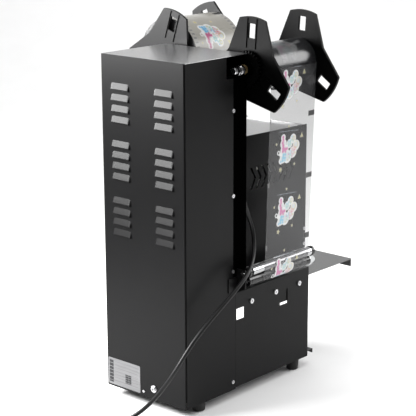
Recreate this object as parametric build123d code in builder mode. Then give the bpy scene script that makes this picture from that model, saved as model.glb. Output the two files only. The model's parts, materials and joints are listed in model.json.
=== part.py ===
from build123d import *
import os
from math import acos, atan2, cos, degrees, hypot, pi, radians, sin, tan

# Automatic cup sealing machine: a tall sheet-metal column at the back, a press head and two film reels
# carried in front of it, and an open base with a sliding cup drawer.
# Millimetres. +Z is up, the front of the machine faces -Y, the table is at Z = 0.
# "Left" is the -X side, where the used film is taken up; "right" is the +X side, the film supply.

# ---------------------------------------------------------------- driving dimensions
FOOT_H = 18.0             # the panels' lower edge stands this far above the table
WIDTH = 190.0             # over the side panels
BACK_Y = 241.0            # outer face of the back cover
COLUMN_H = 600.0          # column height above the panels' lower edge
COLUMN_DEPTH = 160.0      # back cover to the face of the front plate
BASE_DEPTH = 343.0        # back cover to the front edge of the base
BASE_H = 180.0            # base height above the panels' lower edge
SHEET = 1.5               # folded steel sheet
PLATE = 3.0               # the front plate that carries the reels and the head

HEAD_HALF = 80.0          # half width of the press head
HEAD_DEPTH_LINE = 350.0   # back cover to the face of the head
HEAD_LOW_Z = FOOT_H + 214.0
HEAD_HIGH_Z = FOOT_H + 450.0

CUP_Y = BACK_Y - 243.5    # the cup, the press and the punched hole share this axis
FILM_W = 126.0            # film width
FILM_T = 0.3
FILM_HOLE_R = 49.0        # the hole that the knife leaves in the film
KNIFE_R = 47.7
PRESS_STROKE = 28.0
DRAWER_TRAVEL = 155.0

REEL_X = {-1: -91.0, 1: 107.0}        # take-up and supply axes; the supply stands further out
REEL_Z = FOOT_H + 572.0
FLANGE_R = 89.0           # to the tips of the three arms
FLANGE_GAP_BACK_Y = BACK_Y - 171.5    # rear face of the rear flanges
FLANGE_GAP_FRONT_Y = BACK_Y - 311.0   # rear face of the front flanges
SHAFT_R = 6.0
CORE_R = 39.3             # outside of the reel cores
ROLL_R = 69.5             # supply film, about half used
RUNNING = 0.05            # radial clearance of a running fit

LOWER_ROLLER = (106.0, FOOT_H + 200.0)   # distance from the middle plane, height
UPPER_ROLLER = (111.0, FOOT_H + 217.8)
LOWER_ROLLER_R = 9.6
UPPER_ROLLER_R = 8.0
AXLE_R = 4.0
FILM_GAP = 0.3            # film to roller

CORD_R = 3.6
COIL_R = 43.0             # mean radius of the stored turns

# ---------------------------------------------------------------- derived places
HEAD_FRONT_Y = BACK_Y - HEAD_DEPTH_LINE
PANEL_Z = FOOT_H
TOP_Z = PANEL_Z + COLUMN_H
BASE_TOP_Z = PANEL_Z + BASE_H
PLATE_Y = BACK_Y - COLUMN_DEPTH             # face of the front plate
BASE_FRONT_Y = BACK_Y - BASE_DEPTH
BASE_BACK_Y = BACK_Y - 132.5                # rear edge of the base shell
WALL_X = WIDTH / 2
FILM_Z = LOWER_ROLLER[1] - LOWER_ROLLER_R - FILM_GAP      # upper face of the film's level run
FILM_BACK_Y = BACK_Y - 182.5
FILM_FRONT_Y = FILM_BACK_Y - FILM_W
DRAWER_Z = PANEL_Z + 163.0                  # upper face of the drawer plate
DRAWER_FRONT_Y = BACK_Y - 486.0             # with the drawer pulled out
RING_Y = CUP_Y - DRAWER_TRAVEL              # cup ring axis with the drawer pulled out

os.makedirs("parts", exist_ok=True)


def front_facing(y, x=0.0, z=0.0):
    """Sketch plane at depth y whose normal points to the front and whose local axes are X and Z."""
    return Plane(origin=(x, y, z), x_dir=(1, 0, 0), z_dir=(0, -1, 0))


def side_facing(x):
    """Sketch plane at x whose normal points to +X and whose local axes are Y and Z."""
    return Plane(origin=(x, 0, 0), x_dir=(0, 1, 0), z_dir=(1, 0, 0))


def polar(radius, angle):
    """Point at a radius and an angle in degrees."""
    return (radius * cos(radians(angle)), radius * sin(radians(angle)))


def save(part, name):
    part.label = name
    export_step(part, f"parts/{name}.step")


# ================================================================ column
# Two L-shaped side sheets. The upper front corner is open, so that the reel shaft ends stand free in it,
# and the lower front corner makes room for the base shell.
CORNER_Y = PLATE_Y + 53.0
CORNER_Z = REEL_Z - 11.0
SHELL_STEP_Z = BASE_TOP_Z + 10.0
SIDE_TOP_Z = TOP_Z - SHEET
SIDE_BACK_Y = BACK_Y - 3.8
SEAM_Y = PLATE_Y + 35.0    # where the side sheets meet the front plate's returns

with BuildPart() as column_sides:
    for x in (-WALL_X, WALL_X - SHEET):
        with BuildSketch(side_facing(x)):
            with BuildLine():
                Polyline(
                    (SIDE_BACK_Y, PANEL_Z),
                    (BASE_BACK_Y + 0.5, PANEL_Z),
                    (BASE_BACK_Y + 0.5, SHELL_STEP_Z),
                    (SEAM_Y, SHELL_STEP_Z),
                    (SEAM_Y, CORNER_Z),
                    (CORNER_Y, CORNER_Z),
                    (CORNER_Y, SIDE_TOP_Z),
                    (SIDE_BACK_Y, SIDE_TOP_Z),
                    close=True,
                )
            make_face()
        extrude(amount=SHEET)
save(column_sides.part, "column_sides")

# Folded top sheet
with BuildPart() as column_top:
    with BuildSketch(Plane.XY.offset(SIDE_TOP_Z)):
        with Locations((0, (SIDE_BACK_Y + PLATE_Y) / 2)):
            Rectangle(WIDTH, SIDE_BACK_Y - PLATE_Y)
    extrude(amount=SHEET)
    fillet(column_top.edges().group_by(Axis.Z)[-1].filter_by(Axis.Y), radius=1.0)
save(column_top.part, "column_top")

# ---------------------------------------------------------------- back cover with pressed louvers
LOUVER_W = 44.0
LOUVER_H = 14.0
LOUVER_RISE = 3.0
LOUVER_WALL = 1.1
LOUVER_CORNER = 6.0
LOUVER_PITCH = 19.0
LOUVER_GROUP_PITCH = 99.5
LOUVER_FIRST_Z = PANEL_Z + 547.5
LOUVER_X = 50.5
RETURN = 14.0

louver_spots = [
    (x, LOUVER_FIRST_Z - group * LOUVER_GROUP_PITCH - row * LOUVER_PITCH)
    for x in (-LOUVER_X, LOUVER_X)
    for group in range(3)
    for row in range(4)
]


def louver_hood(wall, mouth):
    """Hood that swells downwards from the sheet to a straight mouth, with rounded upper corners.

    wall is how far its faces lie inside the outer ones; mouth is its lower end, from the louver's middle.
    """
    low = mouth - LOUVER_CORNER
    foot_top = LOUVER_H / 2 - wall
    crest_top = 2.0 - LOUVER_H / 2 - wall
    with BuildPart() as blank:
        with BuildSketch(Plane(origin=(0, -0.5, 0), x_dir=(-1, 0, 0), z_dir=(0, 1, 0))):
            with Locations((0, (low + foot_top) / 2)):
                RectangleRounded(LOUVER_W - 2 * wall, foot_top - low, LOUVER_CORNER)
        with BuildSketch(Plane(origin=(0, LOUVER_RISE - wall, 0), x_dir=(-1, 0, 0), z_dir=(0, 1, 0))):
            with Locations((0, (low + crest_top) / 2)):
                RectangleRounded(LOUVER_W - 3 - 2 * wall, crest_top - low, 3.0)
        loft()
        with Locations((0, LOUVER_RISE / 2, low)):
            Box(LOUVER_W + 4, 3 * LOUVER_RISE, 2 * LOUVER_CORNER, mode=Mode.SUBTRACT)
    return blank.part


hood = louver_hood(0.0, -LOUVER_H / 2)
hood_inside = louver_hood(LOUVER_WALL, -LOUVER_H / 2 - 1.0)

with BuildPart() as back_cover:
    with BuildSketch(front_facing(BACK_Y)):
        with Locations((0, PANEL_Z + COLUMN_H / 2)):
            Rectangle(WIDTH, COLUMN_H)
    extrude(amount=SHEET)
    for x in (-WALL_X + SHEET + 0.3, WALL_X - 2 * SHEET - 0.3):
        with BuildSketch(side_facing(x)):
            with Locations((BACK_Y - RETURN / 2, PANEL_Z + COLUMN_H / 2 + 6)):
                Rectangle(RETURN, COLUMN_H - 24)
        extrude(amount=SHEET)
    fillet(back_cover.edges().group_by(Axis.Y)[-1].filter_by(Axis.Z), radius=1.2)
    with Locations(*[(x, BACK_Y, z) for x, z in louver_spots]):
        add(hood)
    with Locations(*[(x, BACK_Y, z) for x, z in louver_spots]):
        add(hood_inside, mode=Mode.SUBTRACT)
    with Locations(*[(x, BACK_Y - SHEET / 2, z - 1.5) for x, z in louver_spots]):
        Box(LOUVER_W - 5.0, SHEET + 1.0, LOUVER_H - 5.0, mode=Mode.SUBTRACT)
save(back_cover.part, "back_cover")

# ---------------------------------------------------------------- front plate
# Folded back along both sides up to the reel corners, narrower above, with an ear for each reel shaft
EAR_R = 17.0
BUSH_R = 9.0
MOTOR_ANGLE = -50.0
GEAR_CENTRES = 42.3
pinion_dx, pinion_dz = polar(GEAR_CENTRES, MOTOR_ANGLE)
PINION_X = REEL_X[-1] + pinion_dx
PINION_Z = REEL_Z + pinion_dz
RELIEF_X = -87.5
RELIEF_Z = PANEL_Z + 334.0
RELIEF_HOLE_R = 4.2
EAR_ROOT_X = 70.0
reel_hubs = [(x, REEL_Z) for x in REEL_X.values()]

with BuildPart() as front_plate:
    with BuildSketch(front_facing(PLATE_Y + PLATE)):
        with Locations((0, (SHELL_STEP_Z + SIDE_TOP_Z) / 2)):
            Rectangle(WIDTH - 2 * SHEET - 0.4, SIDE_TOP_Z - SHELL_STEP_Z - 0.4)
        with Locations((0, (SHELL_STEP_Z + CORNER_Z) / 2)):
            Rectangle(WIDTH, CORNER_Z - SHELL_STEP_Z - 0.4)
        for side, x in REEL_X.items():
            with Locations(((x + side * EAR_ROOT_X) / 2, REEL_Z)):
                Rectangle(abs(x) - EAR_ROOT_X, 2 * EAR_R)
        with Locations(*reel_hubs):
            Circle(EAR_R)
        with Locations(*reel_hubs):
            Circle(BUSH_R + 0.1, mode=Mode.SUBTRACT)
        with Locations((PINION_X, PINION_Z)):
            Circle(5.5, mode=Mode.SUBTRACT)
        with Locations((RELIEF_X, RELIEF_Z)):
            Circle(RELIEF_HOLE_R + 0.1, mode=Mode.SUBTRACT)
        with Locations((0, PANEL_Z + 400)):
            SlotOverall(60, 24, mode=Mode.SUBTRACT)
    extrude(amount=PLATE)
    for x in (-WALL_X, WALL_X - SHEET):
        with BuildSketch(side_facing(x)):
            with Locations(((PLATE_Y + SEAM_Y - 0.4) / 2, (SHELL_STEP_Z + CORNER_Z) / 2)):
                Rectangle(SEAM_Y - 0.4 - PLATE_Y, CORNER_Z - SHELL_STEP_Z - 0.4)
        extrude(amount=SHEET)
save(front_plate.part, "front_plate")

# Wall between the cup bay and the electrical compartment
CAVITY_WALL_Y = BASE_BACK_Y + 8.0
FLOOR_Z = PANEL_Z + 11.0
WALL_LOW_Z = FLOOR_Z + SHEET + 0.3
with BuildPart() as cavity_wall:
    with BuildSketch(front_facing(CAVITY_WALL_Y)):
        with Locations((0, (WALL_LOW_Z + SHELL_STEP_Z) / 2)):
            Rectangle(WIDTH - 2 * SHEET - 0.4, SHELL_STEP_Z - WALL_LOW_Z)
        with Locations((0, PANEL_Z + 60)):
            SlotOverall(34, 14, mode=Mode.SUBTRACT)
    extrude(amount=SHEET)
save(cavity_wall.part, "cavity_wall")

# ================================================================ base
# One folded sheet: two sides and the top, with the knife's clearance hole in the top. Each side has a square
# window next to the column and an upright slot beside the drawer rail.
PASS_HOLE_R = 52.0
WINDOW_Y = (BACK_Y - 156.0, BACK_Y - 134.5)
WINDOW_Z = (PANEL_Z + 128.5, PANEL_Z + 149.5)
SLOT_Y = (BACK_Y - 280.0, BACK_Y - 257.5)
SLOT_Z = (PANEL_Z + 124.5, PANEL_Z + 152.5)
SHELL_LOW_Z = PANEL_Z + 3.0

with BuildPart() as base_shell:
    with BuildSketch(front_facing(BASE_BACK_Y)):
        with Locations((0, (SHELL_LOW_Z + BASE_TOP_Z) / 2)):
            Rectangle(WIDTH, BASE_TOP_Z - SHELL_LOW_Z)
        with Locations((0, (SHELL_LOW_Z + BASE_TOP_Z) / 2 - SHEET)):
            Rectangle(WIDTH - 2 * SHEET, BASE_TOP_Z - SHELL_LOW_Z, mode=Mode.SUBTRACT)
    extrude(amount=BASE_BACK_Y - BASE_FRONT_Y)
    fillet(base_shell.edges().group_by(Axis.Z)[-1].filter_by(Axis.Y), radius=1.4)
    with Locations((0, CUP_Y, BASE_TOP_Z)):
        Cylinder(PASS_HOLE_R, 4 * SHEET, mode=Mode.SUBTRACT)
    for window_y, window_z in ((WINDOW_Y, WINDOW_Z), (SLOT_Y, SLOT_Z)):
        with Locations((0, sum(window_y) / 2, sum(window_z) / 2)):
            Box(WIDTH + 2, window_y[1] - window_y[0], window_z[1] - window_z[0], mode=Mode.SUBTRACT)
save(base_shell.part, "base_shell")

# Floor of the column and the base, standing forward of the base as a lip
FLOOR_FRONT_Y = BACK_Y - 361.0
with BuildPart() as floor_plate:
    with BuildSketch(Plane.XY.offset(FLOOR_Z)):
        with Locations((0, (SIDE_BACK_Y - 2 + FLOOR_FRONT_Y) / 2)):
            Rectangle(WIDTH - 2 * SHEET - 0.4, SIDE_BACK_Y - 2 - FLOOR_FRONT_Y)
    extrude(amount=SHEET)
    with BuildSketch(front_facing(FLOOR_FRONT_Y + SHEET)):
        with Locations((0, FLOOR_Z - 3.0)):
            Rectangle(WIDTH - 2 * SHEET - 0.4, 6.0)
    extrude(amount=SHEET)
save(floor_plate.part, "floor_plate")

# Four turned rubber feet under the floor plate
FOOT_R = 11.0
foot_spots = [(x, BACK_Y - d) for x in (-80.0, 80.0) for d in (50.0, 316.0)]
with BuildPart() as feet:
    with BuildSketch(Plane.XZ):
        with BuildLine():
            Polyline(
                (0, 0),
                (FOOT_R - 1.5, 0),
                (FOOT_R, 1.5),
                (FOOT_R + 1.5, FLOOR_Z - 0.2),
                (0, FLOOR_Z - 0.2),
                close=True,
            )
        make_face()
    revolve(axis=Axis.Z)
foot = feet.part
with BuildPart() as feet:
    with Locations(*[(x, y, 0) for x, y in foot_spots]):
        add(foot)
save(feet.part, "feet")

# ================================================================ drawer
RAIL_WEB = 2.0
RAIL_LEDGE = 9.5
RAIL_SLOT = 0.4
DRAWER_T = 2.0
RAIL_BACK_Y = BASE_BACK_Y - 26.5
RAIL_FRONT_Y = BASE_FRONT_Y + 1.0
LEDGE_FRONT_Y = DRAWER_FRONT_Y + DRAWER_TRAVEL + 5.0      # behind the drawer's lip when it is pushed in
rail_x = WALL_X - SHEET

with BuildPart() as drawer_rails:
    for side in (-1, 1):
        with BuildSketch(front_facing(RAIL_BACK_Y)):
            with Locations((side * (rail_x - RAIL_WEB / 2), DRAWER_Z - 14.5)):
                Rectangle(RAIL_WEB, 39.0)
        extrude(amount=RAIL_BACK_Y - RAIL_FRONT_Y)
        with BuildSketch(front_facing(RAIL_BACK_Y)):
            with Locations((side * (rail_x - RAIL_LEDGE / 2), DRAWER_Z - DRAWER_T - RAIL_SLOT - 1.1)):
                Rectangle(RAIL_LEDGE, 2.2)
            with Locations((side * (rail_x - RAIL_LEDGE / 2), DRAWER_Z + RAIL_SLOT + 0.9)):
                Rectangle(RAIL_LEDGE, 1.8)
        extrude(amount=RAIL_BACK_Y - LEDGE_FRONT_Y)
save(drawer_rails.part, "drawer_rails")

# Flat tray with a round seat for the cup ring and a lip folded down along the front
DRAWER_HALF = rail_x - RAIL_WEB - 1.5
DRAWER_LENGTH = 198.0
DRAWER_LIP = 16.0
RING_SEAT_R = 50.0
with BuildPart() as drawer_plate:
    with BuildSketch(Plane.XY.offset(DRAWER_Z - DRAWER_T)):
        with Locations((0, DRAWER_FRONT_Y + DRAWER_LENGTH / 2)):
            RectangleRounded(2 * DRAWER_HALF, DRAWER_LENGTH, 2.0)
        with Locations((0, RING_Y)):
            Circle(RING_SEAT_R, mode=Mode.SUBTRACT)
    extrude(amount=DRAWER_T)
    with BuildSketch(front_facing(DRAWER_FRONT_Y + DRAWER_T)):
        with Locations((0, DRAWER_Z - DRAWER_LIP / 2)):
            Rectangle(2 * DRAWER_HALF, DRAWER_LIP)
    extrude(amount=DRAWER_T)
save(drawer_plate.part, "drawer_plate")

# Turned ring that carries the cup by its rim
CUP_R = 43.0
RING_TOP_Z = DRAWER_Z + 5.5
with BuildPart() as cup_ring:
    with BuildSketch(Plane.XZ):
        with BuildLine():
            Polyline(
                (CUP_R, DRAWER_Z - 14.0),
                (RING_SEAT_R - 0.3, DRAWER_Z - 14.0),
                (RING_SEAT_R - 0.3, DRAWER_Z + 0.1),
                (RING_SEAT_R + 4.0, DRAWER_Z + 0.1),
                (RING_SEAT_R + 4.0, DRAWER_Z + 2.0),
                (CUP_R + 2.3, DRAWER_Z + 2.0),
                (CUP_R + 2.3, RING_TOP_Z),
                (CUP_R, RING_TOP_Z),
                close=True,
            )
        make_face()
    revolve(axis=Axis.Z)
ring_blank = cup_ring.part
with BuildPart() as cup_ring:
    with Locations((0, RING_Y, 0)):
        add(ring_blank)
save(cup_ring.part, "cup_ring")

# ================================================================ press head shell
VENT_COUNT = 8
VENT_PITCH = 15.3
VENT_FIRST_Y = PLATE_Y - 31.0
VENT_Z = PANEL_Z + 373.0
VENT_H = 39.0
VENT_DEPTH = 11.5
VENT_STROKE = 5.0
HEAD_BACK_Y = PLATE_Y - 0.3

vent_points = [
    (VENT_STROKE / 2, VENT_H / 2),
    (-VENT_STROKE / 2, VENT_H / 2),
    (-VENT_STROKE / 2 - VENT_DEPTH, 0),
    (-VENT_STROKE / 2, -VENT_H / 2),
    (VENT_STROKE / 2, -VENT_H / 2),
    (VENT_STROKE / 2 - VENT_DEPTH, 0),
]
with BuildPart() as head_sides:
    for x in (-HEAD_HALF, HEAD_HALF - SHEET):
        with BuildSketch(side_facing(x)):
            with BuildLine():
                Polyline(
                    (HEAD_BACK_Y, HEAD_LOW_Z),
                    (HEAD_FRONT_Y, HEAD_LOW_Z),
                    (HEAD_FRONT_Y, HEAD_HIGH_Z - 2.0),
                    (HEAD_BACK_Y, HEAD_HIGH_Z + 2.0),
                    close=True,
                )
            make_face()
            with Locations(*[(VENT_FIRST_Y - i * VENT_PITCH, VENT_Z) for i in range(VENT_COUNT)]):
                Polygon(*vent_points, align=None, mode=Mode.SUBTRACT)
        extrude(amount=SHEET)
save(head_sides.part, "head_sides")

# Sunken top sheet between the sides, with its rear edge folded up
HEAD_INSIDE = HEAD_HALF - SHEET - 0.2
TOP_SINK = 8.0
with BuildPart() as head_top:
    with BuildSketch(Plane.XY.offset(HEAD_HIGH_Z - TOP_SINK)):
        with Locations((0, (HEAD_BACK_Y + HEAD_FRONT_Y) / 2)):
            Rectangle(2 * HEAD_INSIDE, HEAD_BACK_Y - HEAD_FRONT_Y)
    extrude(amount=SHEET)
    with Locations((0, HEAD_BACK_Y - 12.0, HEAD_HIGH_Z - TOP_SINK + SHEET + 1.0)):
        Box(2 * HEAD_INSIDE, 2.0, 2.0)
    with Locations((0, HEAD_FRONT_Y + 1.0, HEAD_HIGH_Z - TOP_SINK + SHEET + 1.5)):
        Box(2 * HEAD_INSIDE, 2.0, 3.0)
save(head_top.part, "head_top")

# Front sheet with openings for the display, three keys and the power switch
DISPLAY_Z = HEAD_LOW_Z + 176.0
DISPLAY_SIZE = (74.0, 30.0)
KEY_Z = HEAD_LOW_Z + 138.0
KEY_X = (-30.0, 0.0, 30.0)
KEY_SIZE = (18.0, 11.0)
SWITCH_Z = HEAD_LOW_Z + 46.0
SWITCH_X = 44.0
SWITCH_SIZE = (19.0, 27.0)
FASCIA_T = 2.0

with BuildPart() as head_front:
    with BuildSketch(front_facing(HEAD_FRONT_Y + SHEET)):
        with Locations((0, (HEAD_LOW_Z + HEAD_HIGH_Z - TOP_SINK) / 2)):
            Rectangle(2 * HEAD_INSIDE, HEAD_HIGH_Z - TOP_SINK - HEAD_LOW_Z - 0.2)
        with Locations((0, DISPLAY_Z)):
            Rectangle(DISPLAY_SIZE[0] - 6, DISPLAY_SIZE[1] - 6, mode=Mode.SUBTRACT)
        with Locations(*[(x, KEY_Z) for x in KEY_X]):
            Rectangle(KEY_SIZE[0] + 1, KEY_SIZE[1] + 1, mode=Mode.SUBTRACT)
        with Locations((SWITCH_X, SWITCH_Z)):
            Rectangle(SWITCH_SIZE[0] + 0.4, SWITCH_SIZE[1] + 0.4, mode=Mode.SUBTRACT)
    extrude(amount=SHEET)
save(head_front.part, "head_front")

# Moulded control fascia laid on the front sheet: display frame, key wells and the power switch's well
FASCIA_W = 116.0
FASCIA_TOP_Z = DISPLAY_Z + 26.0
FASCIA_LOW_Z = SWITCH_Z - 24.0
WELL_DEPTH = 14.0
WELL_WALL = 1.7
ROCKER_PIN_R = 1.3
ROCKER_PIN_Y = HEAD_FRONT_Y + 1.5
ROCKER_PIN_HALF = SWITCH_SIZE[0] / 2 - 0.6
with BuildPart() as control_fascia:
    with BuildSketch(front_facing(HEAD_FRONT_Y - 0.05)):
        with Locations((0, (FASCIA_TOP_Z + FASCIA_LOW_Z) / 2)):
            RectangleRounded(FASCIA_W, FASCIA_TOP_Z - FASCIA_LOW_Z, 6)
        with Locations((0, DISPLAY_Z)):
            RectangleRounded(DISPLAY_SIZE[0], DISPLAY_SIZE[1], 2, mode=Mode.SUBTRACT)
        with Locations(*[(x, KEY_Z) for x in KEY_X]):
            RectangleRounded(KEY_SIZE[0] + 0.8, KEY_SIZE[1] + 0.8, 2.2, mode=Mode.SUBTRACT)
    extrude(amount=FASCIA_T)
    fillet(control_fascia.edges().group_by(Axis.Y)[0], radius=0.5)
    with BuildSketch(front_facing(HEAD_FRONT_Y + WELL_DEPTH)):
        with Locations((SWITCH_X, SWITCH_Z)):
            Rectangle(SWITCH_SIZE[0], SWITCH_SIZE[1])
    extrude(amount=WELL_DEPTH + 0.1)
    with BuildSketch(front_facing(HEAD_FRONT_Y + WELL_DEPTH - WELL_WALL)):
        with Locations((SWITCH_X, SWITCH_Z)):
            Rectangle(SWITCH_SIZE[0] - 2 * WELL_WALL, SWITCH_SIZE[1] - 2 * WELL_WALL)
    extrude(amount=WELL_DEPTH + 5, mode=Mode.SUBTRACT)
    with BuildSketch(side_facing(SWITCH_X - ROCKER_PIN_HALF - 0.1)):
        with Locations((ROCKER_PIN_Y, SWITCH_Z)):
            Circle(ROCKER_PIN_R + RUNNING)
    extrude(amount=2 * ROCKER_PIN_HALF + 0.2, mode=Mode.SUBTRACT)
save(control_fascia.part, "control_fascia")

with BuildPart() as display_window:
    with BuildSketch(front_facing(HEAD_FRONT_Y - 0.05)):
        with Locations((0, DISPLAY_Z)):
            RectangleRounded(DISPLAY_SIZE[0] - 0.3, DISPLAY_SIZE[1] - 0.3, 1.9)
    extrude(amount=FASCIA_T - 0.5)
save(display_window.part, "display_window")

# Three keys with a stem flange behind the front sheet's opening
for label, x in zip(("key_down", "key_set", "key_up"), KEY_X):
    with BuildPart() as key:
        with BuildSketch(front_facing(HEAD_FRONT_Y + 4.0)):
            with Locations((x, KEY_Z)):
                RectangleRounded(KEY_SIZE[0], KEY_SIZE[1], 1.8)
        extrude(amount=4.0 + FASCIA_T + 2.2)
        fillet(key.edges().group_by(Axis.Y)[0], radius=0.8)
    save(key.part, label)

# Power rocker, tilting on a cross pin inside the fascia's well
ROCKER_W = SWITCH_SIZE[0] - 2 * WELL_WALL - 1.0
ROCKER_H = SWITCH_SIZE[1] - 2 * WELL_WALL - 3.0
with BuildPart() as power_rocker:
    with BuildSketch(side_facing(SWITCH_X - ROCKER_W / 2)):
        with BuildLine():
            Polyline(
                (HEAD_FRONT_Y + 3.5, SWITCH_Z - 0.30 * ROCKER_H),
                (HEAD_FRONT_Y - 3.0, SWITCH_Z - ROCKER_H / 2),
                (HEAD_FRONT_Y - 2.6, SWITCH_Z),
                (HEAD_FRONT_Y - 5.2, SWITCH_Z + ROCKER_H / 2),
                (HEAD_FRONT_Y + 3.5, SWITCH_Z + 0.30 * ROCKER_H),
                close=True,
            )
        make_face()
    extrude(amount=ROCKER_W)
    with BuildSketch(side_facing(SWITCH_X - ROCKER_PIN_HALF)):
        with Locations((ROCKER_PIN_Y, SWITCH_Z)):
            Circle(ROCKER_PIN_R)
    extrude(amount=2 * ROCKER_PIN_HALF)
save(power_rocker.part, "power_rocker")

# ================================================================ press mechanism inside the head
CHASSIS_Z = PANEL_Z + 334.0
CHASSIS_T = 3.0
ROD_R = 6.0
ROD_X = 60.0
CARRIAGE_Z = FILM_Z + 56.0
CARRIAGE_T = 10.0
SCREW_R = 5.0

with BuildPart() as head_chassis:
    with BuildSketch(Plane.XY.offset(CHASSIS_Z)):
        with Locations((0, CUP_Y)):
            Rectangle(2 * HEAD_INSIDE, 150)
            Circle(SCREW_R + 1.0, mode=Mode.SUBTRACT)
        with Locations((-ROD_X, CUP_Y), (ROD_X, CUP_Y)):
            Circle(ROD_R + 0.1, mode=Mode.SUBTRACT)
    extrude(amount=CHASSIS_T)
save(head_chassis.part, "head_chassis")

ROD_LOW_Z = CARRIAGE_Z - PRESS_STROKE - 2.0
with BuildPart() as guide_rods:
    with BuildSketch(Plane.XY.offset(ROD_LOW_Z)):
        with Locations((-ROD_X, CUP_Y), (ROD_X, CUP_Y)):
            Circle(ROD_R)
    extrude(amount=CHASSIS_Z + CHASSIS_T + 4.0 - ROD_LOW_Z)
save(guide_rods.part, "guide_rods")

MOTOR_R = 22.0
with BuildPart() as press_motor:
    with BuildSketch(Plane.XY.offset(CHASSIS_Z + CHASSIS_T + 0.1)):
        with Locations((0, CUP_Y)):
            RectangleRounded(52, 52, 4)
            Circle(SCREW_R + 1.0, mode=Mode.SUBTRACT)
    extrude(amount=22)
    with BuildSketch(Plane.XY.offset(CHASSIS_Z + CHASSIS_T + 22.1)):
        with Locations((0, CUP_Y)):
            Circle(MOTOR_R)
    extrude(amount=62)
    fillet(press_motor.edges().group_by(Axis.Z)[-1], radius=3)
save(press_motor.part, "press_motor")

# Lead screw, hanging from the gearbox through the carriage nut
SCREW_LOW_Z = CARRIAGE_Z - 20.0
with BuildPart() as lead_screw:
    with BuildSketch(Plane.XY.offset(SCREW_LOW_Z)):
        with Locations((0, CUP_Y)):
            Circle(SCREW_R)
    extrude(amount=CHASSIS_Z + CHASSIS_T + 18.0 - SCREW_LOW_Z)
    chamfer(lead_screw.edges().group_by(Axis.Z)[0], length=1.2)
save(lead_screw.part, "lead_screw")

# Carriage: cross beam with two bush seats, the nut, four heater posts and three knife posts
BUSH_LENGTH = 30.0
CARRIAGE_BUSH_R = 10.0
HEATER_R = 44.0
HEATER_Z = FILM_Z + 8.0
HEATER_T = 12.0
KNIFE_Z = FILM_Z + 4.0
KNIFE_FLANGE_Z = FILM_Z + PRESS_STROKE + 4.0
POST_PCD = 30.0
KNIFE_FLANGE_W = 5.3
KNIFE_POST_R = 50.0

with BuildPart() as press_carriage:
    with BuildSketch(Plane.XY.offset(CARRIAGE_Z)):
        with Locations((0, CUP_Y)):
            Rectangle(150, 34)
            Circle(58)
            Circle(SCREW_R + 2.5, mode=Mode.SUBTRACT)
        with Locations((-ROD_X, CUP_Y), (ROD_X, CUP_Y)):
            Circle(CARRIAGE_BUSH_R + 0.1, mode=Mode.SUBTRACT)
    extrude(amount=CARRIAGE_T)
    with BuildSketch(Plane.XY.offset(HEATER_Z + HEATER_T + 0.1)):
        with Locations((0, CUP_Y)):
            with PolarLocations(POST_PCD, 4, start_angle=45):
                Circle(4)
    extrude(amount=CARRIAGE_Z - HEATER_Z - HEATER_T - 0.1)
    with BuildSketch(Plane.XY.offset(KNIFE_FLANGE_Z + 4.1)):
        with Locations((0, CUP_Y)):
            with PolarLocations(KNIFE_POST_R, 3, start_angle=90):
                Circle(3)
    extrude(amount=CARRIAGE_Z - KNIFE_FLANGE_Z - 4.1)
save(press_carriage.part, "press_carriage")

# Two flanged guide bushes and the lead nut, pressed into the carriage
with BuildPart() as carriage_bushes:
    with BuildSketch(Plane.XY.offset(CARRIAGE_Z - 0.2)):
        with Locations((-ROD_X, CUP_Y), (ROD_X, CUP_Y)):
            Circle(CARRIAGE_BUSH_R)
            Circle(ROD_R + RUNNING, mode=Mode.SUBTRACT)
    extrude(amount=BUSH_LENGTH)
    with BuildSketch(Plane.XY.offset(CARRIAGE_Z + 0.1)):
        with Locations((0, CUP_Y)):
            Circle(SCREW_R + 2.4)
            Circle(SCREW_R + RUNNING, mode=Mode.SUBTRACT)
    extrude(amount=22)
save(carriage_bushes.part, "carriage_bushes")

with BuildPart() as heater_plate:
    with BuildSketch(Plane.XY.offset(HEATER_Z)):
        with Locations((0, CUP_Y)):
            Circle(HEATER_R)
    extrude(amount=HEATER_T)
    with BuildSketch(Plane.XY.offset(HEATER_Z)):
        with Locations((0, CUP_Y)):
            Circle(HEATER_R - 8)
    extrude(amount=2.0, mode=Mode.SUBTRACT)
    chamfer(heater_plate.edges().group_by(Axis.Z)[-1], length=1.5)
save(heater_plate.part, "heater_plate")

with BuildPart() as cutter_ring:
    with BuildSketch(Plane.XY.offset(KNIFE_Z)):
        with Locations((0, CUP_Y)):
            Circle(KNIFE_R)
            Circle(KNIFE_R - 2.0, mode=Mode.SUBTRACT)
    extrude(amount=KNIFE_FLANGE_Z - KNIFE_Z)
    chamfer(cutter_ring.edges().group_by(Axis.Z)[0].sort_by(SortBy.LENGTH)[-1], length=1.2)
    with BuildSketch(Plane.XY.offset(KNIFE_FLANGE_Z)):
        with Locations((0, CUP_Y)):
            Circle(KNIFE_R + KNIFE_FLANGE_W)
            Circle(KNIFE_R - 2.0, mode=Mode.SUBTRACT)
    extrude(amount=4.0)
save(cutter_ring.part, "cutter_ring")

# ================================================================ reels
SLOT_R = 0.725 * FLANGE_R
SLOT_SIZE = (0.29 * FLANGE_R, 0.175 * FLANGE_R)
TIP_HALF_ANGLE = 18.4
NOTCH_R = 0.63 * FLANGE_R
FLANGE_T = 2.5
FLANGE_RIM = 2.5
FLANGE_WALL = 2.2
PLUG_R = 36.2
PLUG_LENGTH = 10.0


def flange_outline(radius, notch_radius, tip_half_angle):
    """Closed three-armed outline: round tips joined by straight lines to the notches between the arms."""
    for arm in (0, 120, 240):
        tip_a = polar(radius, arm - tip_half_angle)
        tip_b = polar(radius, arm + tip_half_angle)
        notch = polar(notch_radius, arm + 60)
        next_tip = polar(radius, arm + 120 - tip_half_angle)
        ThreePointArc(tip_a, polar(radius, arm), tip_b)
        Line(tip_b, notch)
        Line(notch, next_tip)


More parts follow.
